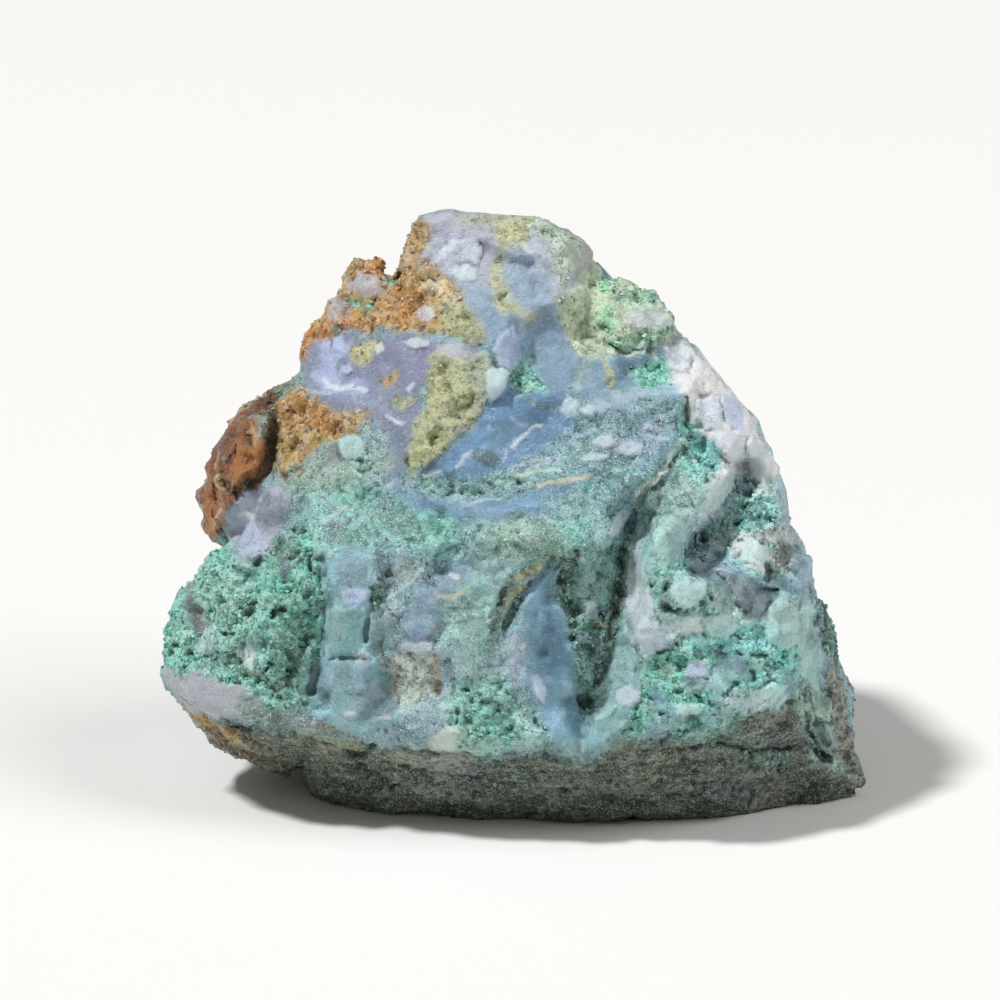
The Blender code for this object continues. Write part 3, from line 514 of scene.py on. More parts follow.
    ("right_dark_c", "glass", "dark_moss", 0.2, 0.8, [(728, 680), (738, 678), (738, 688), (730, 688)]),
    ("right_dark_d", "glass", "dark_moss", 0.2, 0.8, [(719, 690), (730, 690), (728, 698), (720, 697)]),
    ("right_dark_e", "glass", "dark_moss", 0.2, 0.8, [(652, 650), (672, 640), (676, 646), (656, 656)]),
    ("right_dark_f", "moss", "shade", 0.2, 0.55, [(756, 584), (772, 586), (776, 592), (762, 596), (754, 592)]),
    ("right_dark_g", "moss", "dark_moss", 0.2, 0.55, [(726, 612), (738, 618), (746, 628), (734, 624)]),
    ("right_sheen", "glass", "pale_teal", 0.5, 0.7, [(706, 672), (730, 668), (738, 682), (722, 698), (706, 690)]),
    ("right_band", "druse", "pale_moss", 0.5, 0.8,
     [(712, 696), (748, 690), (780, 686), (786, 694), (760, 706), (724, 710)]),
    ("right_grey", "glass", "dusk_violet", 0.4, 0.8, [(780, 668), (796, 674), (800, 700), (786, 702), (778, 686)]),
    ("ridge_white", "quartz", "white_quartz", 0.5, 0.6, [(650, 632), (676, 620), (704, 618), (700, 634), (672, 642)]),
    ("ridge_foot", "glass", "light_blue", 0.5, 0.6, [(650, 684), (664, 690), (672, 706), (656, 712), (646, 700)]),

    ("underside", "layered", "under_green", 0.5, 1.0,
     [(150, 700), (190, 716), (240, 724), (300, 736), (360, 744), (430, 750), (500, 754), (560, 746),
      (620, 742), (680, 738), (720, 724), (760, 708), (800, 700), (830, 700), (880, 790), (880, 860),
      (90, 860), (140, 700)]),
    ("ledge_cream", "quartz", "cream", 0.5, 0.8,
     [(428, 728), (460, 728), (500, 738), (506, 750), (470, 752), (430, 746)]),
    ("ledge_mint", "druse", "mid_green", 0.6, 0.7,
     [(510, 742), (560, 738), (620, 736), (680, 730), (690, 742), (620, 752), (540, 758)]),
    ("ochre_edge", "rust", "ochre", 0.4, 0.9,
     [(158, 690), (190, 709), (216, 721), (254, 740), (262, 756), (238, 760), (212, 748), (184, 728)]),
    ("under_brown", "layered", "under_brown", 0.8, 0.9,
     [(190, 728), (236, 746), (300, 764), (310, 800), (250, 786), (214, 760)]),
    ("under_cream", "layered", "cream", 0.5, 0.5, [(370, 768), (392, 764), (410, 776), (400, 784), (376, 778)]),
    # Painted shade: the underside darkened towards the floor, where shade falls under the stone
    ("deep_shade", "layered", "deep_shade", 1.4, 0.85,
     [(236, 772), (300, 786), (400, 796), (500, 802), (600, 806), (700, 802), (800, 790), (868, 780),
      (880, 860), (90, 860), (200, 780)]),
    ("under_blue", "layered", "under_violet", 0.6, 0.7, [(430, 752), (480, 752), (490, 776), (450, 784), (424, 770)]),
    ("under_violet", "layered", "under_violet", 0.6, 0.7, [(690, 772), (740, 768), (772, 790), (740, 802), (700, 796)]),
    ("under_violet_right", "layered", "under_violet", 0.3, 0.8, [(776, 732), (800, 728), (806, 742), (790, 750)]),
    ("under_olive", "layered", "under_olive", 0.8, 0.7, [(600, 742), (680, 736), (700, 756), (660, 770), (604, 764)]),
    ("under_olive_left", "layered", "olive", 0.6, 0.5, [(320, 738), (380, 746), (410, 758), (360, 760), (316, 750)]),
    ("under_green_right", "moss", "shade", 0.5, 0.7, [(730, 744), (770, 740), (800, 760), (780, 776), (736, 766)]),
    ("ledge_shade", "moss", "shade", 0.3, 0.95, [(676, 724), (690, 712), (698, 714), (692, 728), (678, 734)]),
    ("ledge_olive_right", "layered", "olive_teal", 0.5, 0.5, [(700, 716), (744, 706), (790, 706), (800, 722), (740, 730)]),
    ("right_corner", "druse", "corner_green", 0.5, 0.9,
     [(796, 686), (814, 684), (830, 700), (836, 740), (858, 790), (836, 780), (812, 760), (800, 720)]),
    ("corner_wedge", "moss", "shade", 0.3, 0.8, [(798, 678), (806, 682), (818, 700), (812, 710), (800, 702)]),
    ("side_face", "layered", "side_grey", 0.4, 0.95,
     [(822, 664), (842, 664), (856, 750), (866, 792), (852, 792), (834, 742)]),
    ("back_lump", "moss", "shade", 0.4, 0.95,
     [(812, 584), (832, 612), (850, 648), (842, 672), (824, 668), (816, 630)]),
    ("edge_green", "moss", "deep_moss", 0.8, 0.6, [(455, 712), (500, 716), (520, 742), (500, 758), (462, 752)]),
    ("edge_glass", "glass", "glass_green", 0.8, 0.5, [(560, 730), (600, 728), (620, 748), (590, 764), (556, 756)]),
    ("edge_moss", "moss", "moss", 0.8, 0.5, [(640, 728), (700, 716), (740, 712), (736, 734), (690, 744)]),
    ("edge_cream", "olive", "cream", 0.8, 0.4, [(400, 744), (440, 748), (470, 762), (440, 776), (404, 764)]),
    ("edge_olive", "olive", "olive", 0.8, 0.4, [(280, 722), (320, 728), (360, 742), (330, 756), (290, 744)]),
]


# Thin lines painted over the coats, such as scratches, veins and cracks, and glints and
# sparkle that are painted highlights: the name, the kind, the colour, the half width in mm, how
# strongly it covers, and the path in points of the picture

LINES = [
    ("pool_scratch", "quartz", "white_quartz", 0.11, 0.9, [(541, 426), (534, 427), (527, 433), (520, 440), (512, 448)]),
    ("pool_scratch_left", "quartz", "pale_lilac", 0.09, 0.8, [(471, 451), (464, 458), (463, 462), (456, 468)]),
    ("pool_arc", "quartz", "pale_lilac", 0.06, 0.7, [(512, 418), (518, 425), (526, 427)]),
    ("pool_arc_low", "quartz", "pale_lilac", 0.08, 0.7, [(503, 448), (507, 456), (502, 463)]),
    ("pool_rim", "quartz", "cream", 0.09, 0.7, [(425, 479), (434, 474), (442, 471)]),
    ("pool_curl", "moss", "dark_moss", 0.3, 0.5, [(425, 484), (440, 491), (470, 491), (500, 484), (522, 477)]),
    ("pool_shadow", "druse", "under_green", 0.4, 0.5, [(478, 456), (488, 458), (494, 464)]),
    ("pool_right_rim", "druse", "block_grey", 0.2, 0.6, [(520, 395), (530, 404), (556, 410)]),
    ("olive_rim", "olive", "shade", 0.16, 0.6, [(489, 398), (476, 422), (454, 442), (436, 462), (420, 478)]),
    ("tan_streak_high", "quartz", "cream", 0.10, 0.7, [(516, 478), (534, 472), (560, 470)]),
    ("tan_streak_low", "quartz", "tan", 0.12, 0.7, [(538, 486), (560, 482), (590, 476)]),
    ("white_streak_high", "quartz", "pale_lilac", 0.10, 0.8, [(520, 466), (534, 462), (548, 460)]),
    ("white_streak_low", "quartz", "pale_lilac", 0.10, 0.7, [(528, 470), (548, 463)]),
    ("stream_scratch", "quartz", "pale_lilac", 0.08, 0.6, [(462, 508), (478, 502), (500, 498)]),
    ("crack_rim", "quartz", "cream", 0.13, 0.8,
     [(684, 440), (672, 450), (668, 464), (654, 481), (640, 489), (635, 498), (636, 506)]),
    ("crack_dark", "moss", "shade", 0.18, 0.85, [(688, 446), (677, 458), (671, 470), (657, 486), (643, 494), (640, 505)]),
    ("quartz_crack", "moss", "shade", 0.15, 0.8, [(686, 400), (688, 420), (687, 440)]),
    ("sparkle_high", "quartz", "warm_quartz", 0.10, 0.6, [(640, 430), (650, 426), (662, 432)]),
    ("sparkle_low", "quartz", "warm_quartz", 0.10, 0.6, [(648, 438), (658, 441), (668, 438)]),
    ("lavender_glint", "quartz", "white_quartz", 0.14, 0.9, [(325, 380), (330, 387), (342, 390), (354, 388), (366, 391)]),
    ("lavender_glint_low", "quartz", "pale_lilac", 0.10, 0.6, [(312, 392), (330, 395)]),
    ("lavender_glint_right", "quartz", "white_quartz", 0.13, 0.8, [(388, 417), (396, 422), (403, 425)]),
    ("lavender_dot", "quartz", "white_quartz", 0.14, 0.8, [(357, 412), (360, 413)]),
    ("lavender_dot_high", "quartz", "pale_lilac", 0.14, 0.8, [(409, 390), (413, 386)]),
    ("left_glint", "quartz", "white_quartz", 0.16, 0.8, [(238, 517), (246, 513), (254, 518)]),
    ("lobe_rim", "iron", "tan", 0.10, 0.7, [(222, 452), (215, 470), (217, 488), (227, 495)]),
    ("lobe_knob_rim", "iron", "tan", 0.09, 0.6, [(252, 424), (257, 438), (252, 450)]),
    ("lobe_shade", "iron", "shade", 0.30, 0.9, [(273, 416), (275, 440), (273, 462), (264, 476), (246, 488)]),
    ("mid_white_streak", "quartz", "grey_quartz", 0.12, 0.7, [(324, 524), (334, 516), (346, 509)]),
    ("pale_vein", "quartz", "pale_moss", 0.12, 0.7, [(378, 606), (392, 596), (410, 584), (424, 566), (436, 548), (446, 532)]),
    ("wedge_shade", "moss", "shade", 0.25, 0.8, [(382, 580), (379, 596), (375, 610)]),
    ("arc_shade", "glass", "under_violet", 0.22, 0.7, [(403, 632), (412, 640), (424, 641), (436, 630), (448, 624)]),
    ("tan_arc", "quartz", "tan", 0.16, 0.6, [(438, 594), (450, 598), (468, 590)]),
    ("centre_dot", "quartz", "white_quartz", 0.20, 0.8, [(453, 575), (457, 578)]),
    ("foot_glint_left", "quartz", "white_quartz", 0.12, 0.9, [(346, 713), (356, 712)]),
    ("foot_glint_right", "quartz", "white_quartz", 0.10, 0.8, [(372, 719), (390, 716)]),
    ("mint_dot", "quartz", "mint_quartz", 0.28, 0.8, [(444, 705), (451, 706)]),
    ("gold_edge", "rust", "orange", 0.12, 0.5, [(438, 654), (439, 672), (437, 690)]),
    ("gold_edge_left", "rust", "dark_rust", 0.10, 0.5, [(397, 678), (398, 704)]),
    ("vein_light", "olive", "yellow_olive", 0.18, 0.8, [(540, 566), (528, 573), (517, 577)]),
    ("vein_light_low", "olive", "yellow_olive", 0.14, 0.8, [(524, 590), (514, 592), (506, 602)]),
    ("vein_dark", "moss", "shade", 0.22, 0.8, [(512, 578), (504, 592), (496, 612), (492, 628)]),
    ("hollow_left", "moss", "shade", 0.35, 0.7, [(574, 558), (567, 574), (560, 594)]),
    ("hollow_middle", "moss", "shade", 0.30, 0.6, [(562, 598), (573, 622), (580, 650)]),
    ("hollow_right", "moss", "shade", 0.38, 0.85, [(626, 542), (621, 570), (619, 590), (614, 612), (606, 640), (592, 656)]),
    ("hollow_foot", "moss", "dark_moss", 0.25, 0.7, [(597, 680), (586, 698), (580, 712)]),
    ("quartz_edge_high", "glass", "violet_grey", 0.07, 0.35, [(692, 356), (688, 372), (700, 396), (722, 396)]),
    ("quartz_edge_middle", "glass", "violet_grey", 0.07, 0.35, [(722, 396), (720, 428), (706, 434), (696, 420)]),
    ("quartz_edge_low", "glass", "slate_grey", 0.07, 0.35, [(720, 430), (746, 440), (748, 460), (770, 474)]),
    ("boulder_edge", "moss", "shade", 0.14, 0.8, [(670, 578), (663, 592), (659, 604), (670, 609), (684, 610)]),
    ("boulder_edge_right", "moss", "dark_moss", 0.14, 0.7, [(690, 608), (702, 600), (704, 586)]),
    ("facet_rim_pale", "olive", "crown_lime", 0.12, 0.6, [(556, 316), (568, 330), (576, 350)]),
    ("triangle_rim", "quartz", "cream", 0.14, 0.5, [(522, 244), (536, 260), (545, 274)]),
    ("triangle_rim_left", "quartz", "lilac_grey", 0.12, 0.5, [(504, 254), (511, 244)]),
    ("crown_ridge", "olive", "crown_lime", 0.10, 0.8, [(604, 344), (612, 354), (630, 356), (650, 352), (657, 360)]),
    ("crown_ridge_shade", "moss", "dark_moss", 0.10, 0.7, [(606, 341), (618, 349), (646, 346)]),
    ("facet_joint_a", "moss", "shade", 0.12, 0.8, [(700, 566), (716, 572), (730, 586), (748, 592)]),
    ("facet_joint_b", "moss", "shade", 0.12, 0.8, [(730, 586), (734, 604), (752, 618), (770, 612)]),
    ("facet_joint_c", "moss", "dark_moss", 0.12, 0.7, [(770, 612), (780, 592), (776, 570), (760, 560)]),
    ("facet_edge_a", "quartz", "pale_lilac", 0.06, 0.8, [(704, 570), (722, 568), (742, 580), (756, 600)]),
    ("facet_edge_b", "quartz", "pale_lilac", 0.06, 0.7, [(756, 600), (768, 590), (772, 574)]),
    ("facet_edge_c", "quartz", "mint_quartz", 0.07, 0.8, [(672, 572), (690, 570), (704, 580), (702, 596)]),
    ("ridge_glint_a", "quartz", "mint_quartz", 0.08, 0.7, [(640, 528), (634, 560), (628, 596), (624, 630)]),
    ("ridge_glint_b", "quartz", "pale_lilac", 0.07, 0.7, [(652, 590), (646, 616), (652, 640), (668, 648)]),
    ("ridge_joint", "moss", "dark_moss", 0.10, 0.7, [(642, 566), (650, 586), (646, 612), (636, 640), (640, 668)]),
    ("tail_edge", "quartz", "white_quartz", 0.10, 0.9, [(740, 466), (728, 488), (712, 508), (700, 528)]),
    ("ridge_edge", "moss", "deep_moss", 0.14, 0.6, [(658, 560), (654, 600), (648, 640), (640, 664)]),
    # Cracks of the underside, darkened with the darkest painted shade
    ("under_crack_a", "layered", "deep_shade", 0.12, 0.8, [(600, 754), (640, 748), (672, 752), (700, 746)]),
    ("under_crack_b", "layered", "deep_shade", 0.12, 0.8, [(330, 748), (372, 756), (410, 768), (450, 790)]),
    ("under_crack_c", "layered", "deep_shade", 0.12, 0.7, [(720, 742), (750, 750), (790, 748)]),
    ("under_streak_a", "layered", "cream", 0.08, 0.5, [(738, 736), (756, 732), (770, 724)]),
    ("under_streak_b", "layered", "side_grey", 0.08, 0.6, [(656, 776), (676, 780), (700, 786)]),
    ("under_streak_c", "layered", "side_grey", 0.08, 0.6, [(660, 786), (690, 784)]),
    ("under_streak_d", "layered", "cream", 0.14, 0.5, [(368, 764), (384, 768), (400, 778)]),
    ("under_streak_e", "layered", "side_grey", 0.08, 0.5, [(760, 772), (790, 768), (816, 764)]),
    ("under_streak_f", "layered", "tan", 0.10, 0.5, [(318, 722), (340, 730), (356, 738)]),
    # Cracks of the corner, darkened with the darkest painted shade
    ("corner_crack_high", "moss", "deep_shade", 0.16, 0.9, [(806, 712), (808, 730), (814, 742)]),
    ("corner_crack_side", "moss", "deep_shade", 0.12, 0.9, [(816, 721), (830, 724)]),
    ("corner_crack_low", "moss", "deep_shade", 0.16, 0.9, [(806, 742), (817, 752), (828, 760)]),
]
LINE_EDGE = 0.12
LINE_WANDER = (1.8, 0.12)

# Coats of the sides and the back: the name, the kind, the colour, how strongly it covers,
# and the middle and the radii of the ball that it fills, in mm

SIDE_COATS = [
    ("back_green", "druse", "mid_green", 0.8, (8.0, 12.0, 12.0), (9.0, 9.0, 8.0)),
    ("back_grey", "druse", "grey_blue", 0.7, (-8.0, 10.0, 9.0), (8.0, 8.0, 8.0)),
    ("back_blue", "chalcedony", "slate_blue", 0.9, (-2.0, 11.0, 18.0), (6.0, 8.0, 5.5)),
    ("back_blue_low", "chalcedony", "pool_blue", 0.7, (5.0, 13.0, 8.0), (4.0, 7.0, 3.0)),
    ("back_lavender", "chalcedony", "lavender", 0.8, (-8.0, 8.0, 24.0), (4.0, 6.0, 4.0)),
    ("back_olive", "olive", "olive", 0.8, (1.0, 9.0, 26.0), (4.0, 6.0, 5.0)),
    ("back_rust", "rust", "ochre", 0.9, (-15.0, 8.0, 20.0), (6.0, 8.0, 7.0)),
    ("back_rust_high", "rust", "orange", 0.8, (-9.0, 6.0, 28.0), (4.0, 5.0, 3.0)),
    ("back_rust_deep", "rust", "rust", 0.7, (-18.0, 4.0, 17.0), (4.0, 6.0, 5.0)),
    ("knob_top", "rust", "ochre", 0.95, (-9.0, 1.0, 32.0), (3.5, 5.0, 3.0)),
    ("back_cap", "chalcedony", "lilac_grey", 0.9, (-1.0, 8.0, 33.0), (5.0, 6.0, 4.0)),
    ("back_crown", "olive", "crown_lime", 0.9, (8.0, 7.0, 27.0), (4.0, 6.0, 4.0)),
    ("back_quartz", "quartz", "white_quartz", 1.0, (14.0, 4.0, 22.0), (5.0, 8.0, 6.5)),
    ("back_quartz_low", "quartz", "grey_quartz", 0.8, (10.0, 11.0, 17.0), (4.0, 5.0, 3.0)),
    ("left_side_moss", "moss", "moss", 0.95, (-20.0, 2.0, 8.0), (6.0, 9.0, 6.0)),
    ("back_moss", "moss", "deep_moss", 0.85, (2.0, 14.0, 11.0), (6.0, 5.0, 3.0)),
    ("back_moss_right", "moss", "deep_moss", 0.85, (17.0, 6.0, 8.0), (5.0, 6.0, 4.5)),
    ("back_moss_high", "moss", "moss", 0.7, (10.0, 9.0, 23.0), (4.0, 5.0, 2.5)),
    ("right_side", "layered", "side_grey", 0.8, (21.0, -2.0, 6.0), (3.0, 6.0, 6.0)),
    ("foot", "layered", "under_green", 0.9, (0.0, 0.0, -1.0), (30.0, 26.0, 5.5)),
]
SIDE_EDGE = 0.3
SIDE_WANDER = 3.2

# How far the edges of the coats wander, in mm, and how often
WANDERS = ((0.42, 0.7), (0.26, 2.2), (0.15, 5.5))
EDGE_SPREAD = 1.5

# Relief of each kind of mineral, in mm: coarse and fine broken facets, big and small lumps,
# and pits
KINDS = ("chalcedony", "glass", "druse", "moss", "rust", "iron", "olive", "quartz", "layered")
RELIEF = {
    "chalcedony": (0.04, 0.02, 0.00, 0.00, 0.00),
    "glass": (0.11, 0.06, 0.00, 0.00, 0.04),
    "druse": (0.13, 0.09, 0.08, 0.05, 0.14),
    "moss": (0.16, 0.10, 0.50, 0.24, 0.50),
    "rust": (0.16, 0.10, 0.28, 0.16, 0.30),
    "iron": (0.22, 0.12, 0.36, 0.08, 0.25),
    "olive": (0.14, 0.10, 0.18, 0.12, 0.24),
    "quartz": (0.13, 0.08, 0.00, 0.00, 0.00),
    "layered": (0.26, 0.16, 0.20, 0.14, 0.26),
}
COARSE_FACET = 2.6
FINE_FACET = 1.05
COARSE_LIFT = 1.5
BIG_LUMP = 1.5
SMALL_LUMP = 0.6
LUMP_MEAN = 0.45
PIT_RATE = 0.75
PIT_START = 0.22
LEAN_RATE = 7.31
LEAN_SHIFT = Vector((3.7, 1.3, 5.9))
FACET_WANDER = 0.5
BACK_FACET = 4.5
BACK_LIFT = 0.3
LAYER_STRETCH = Vector((0.5, 0.7, 1.35))
MOST_RELIEF = 1.0

# Clefts pressed into the show side: the path in points of the picture, the half width in
# mm and the depth in mm

CLEFTS = {
    "mid_crack": ([(685, 440), (666, 464), (644, 486), (636, 510), (622, 540)], 0.22, 0.3),
    "quartz_side": ([(685, 400), (686, 438)], 0.2, 0.35),
    "lobe_crevice": ([(272, 408), (274, 430), (272, 452), (266, 470), (250, 484), (236, 494)], 0.35, 0.8),
    "lobe_split": ([(236, 446), (226, 470), (216, 492), (214, 516)], 0.22, 0.4),
    "vein_groove": ([(552, 560), (536, 580), (516, 602), (504, 628)], 0.25, 0.3),
    "block_groove": ([(374, 588), (368, 620), (368, 640)], 0.18, 0.35),
    "column_groove": ([(322, 560), (328, 610), (322, 650), (312, 690)], 0.3, 0.5),
    "column_seam": ([(322, 660), (350, 656), (372, 658)], 0.14, 0.2),
    "boulder_shade": ([(662, 606), (676, 612), (694, 610), (706, 598)], 0.25, 0.45),
    "pit_in_cleft": ([(688, 552), (696, 540)], 0.45, 0.9),
    "hollow_edge": ([(620, 552), (616, 590), (610, 640), (596, 680)], 0.3, 0.6),
    "right_groove": ([(804, 690), (812, 720), (826, 744)], 0.22, 0.4),
    "knob_notch": ([(386, 256), (390, 268), (396, 276)], 0.3, 0.6),
    "ridge_line": ([(604, 342), (620, 354), (650, 350)], 0.14, 0.25),
    "moss_pit_a": ([(275, 614), (284, 611)], 0.22, 0.6),
    "moss_pit_b": ([(236, 568), (244, 573)], 0.14, 0.4),
    "moss_pit_c": ([(258, 564), (263, 559)], 0.18, 0.4),
    "moss_pit_d": ([(246, 615), (254, 611)], 0.16, 0.4),
    "moss_pit_e": ([(311, 557), (312, 571)], 0.14, 0.4),
    "moss_pit_f": ([(228, 634), (234, 633)], 0.16, 0.4),
    "shade_pit": ([(276, 688), (290, 680), (300, 650)], 0.30, 0.5),
    "right_pit_a": ([(744, 508), (756, 503)], 0.20, 0.5),
    "right_pit_b": ([(736, 524), (742, 521)], 0.14, 0.4),
    "right_pit_c": ([(750, 656), (762, 655)], 0.18, 0.4),
    "right_pit_d": ([(750, 672), (751, 678)], 0.16, 0.4),
    "right_pit_e": ([(732, 682), (722, 694)], 0.16, 0.4),
    "right_pit_f": ([(656, 652), (674, 643)], 0.14, 0.3),
    "right_pit_g": ([(756, 592), (774, 590)], 0.16, 0.4),
    "ledge_pit": ([(680, 730), (694, 716)], 0.25, 0.5),
    "under_crack_a": ([(600, 754), (640, 748), (672, 752), (700, 746)], 0.16, 0.2),
    "under_crack_b": ([(330, 748), (372, 756), (410, 768), (450, 790)], 0.16, 0.2),
    "under_crack_c": ([(720, 742), (750, 750), (790, 748)], 0.16, 0.3),
    "corner_crack": ([(806, 712), (808, 730), (817, 752), (828, 760)], 0.20, 0.5),
}

# Crystals and broken facets that stand out as plates: the name, the kind, the colour, the
# height in mm and the outline in points of the picture

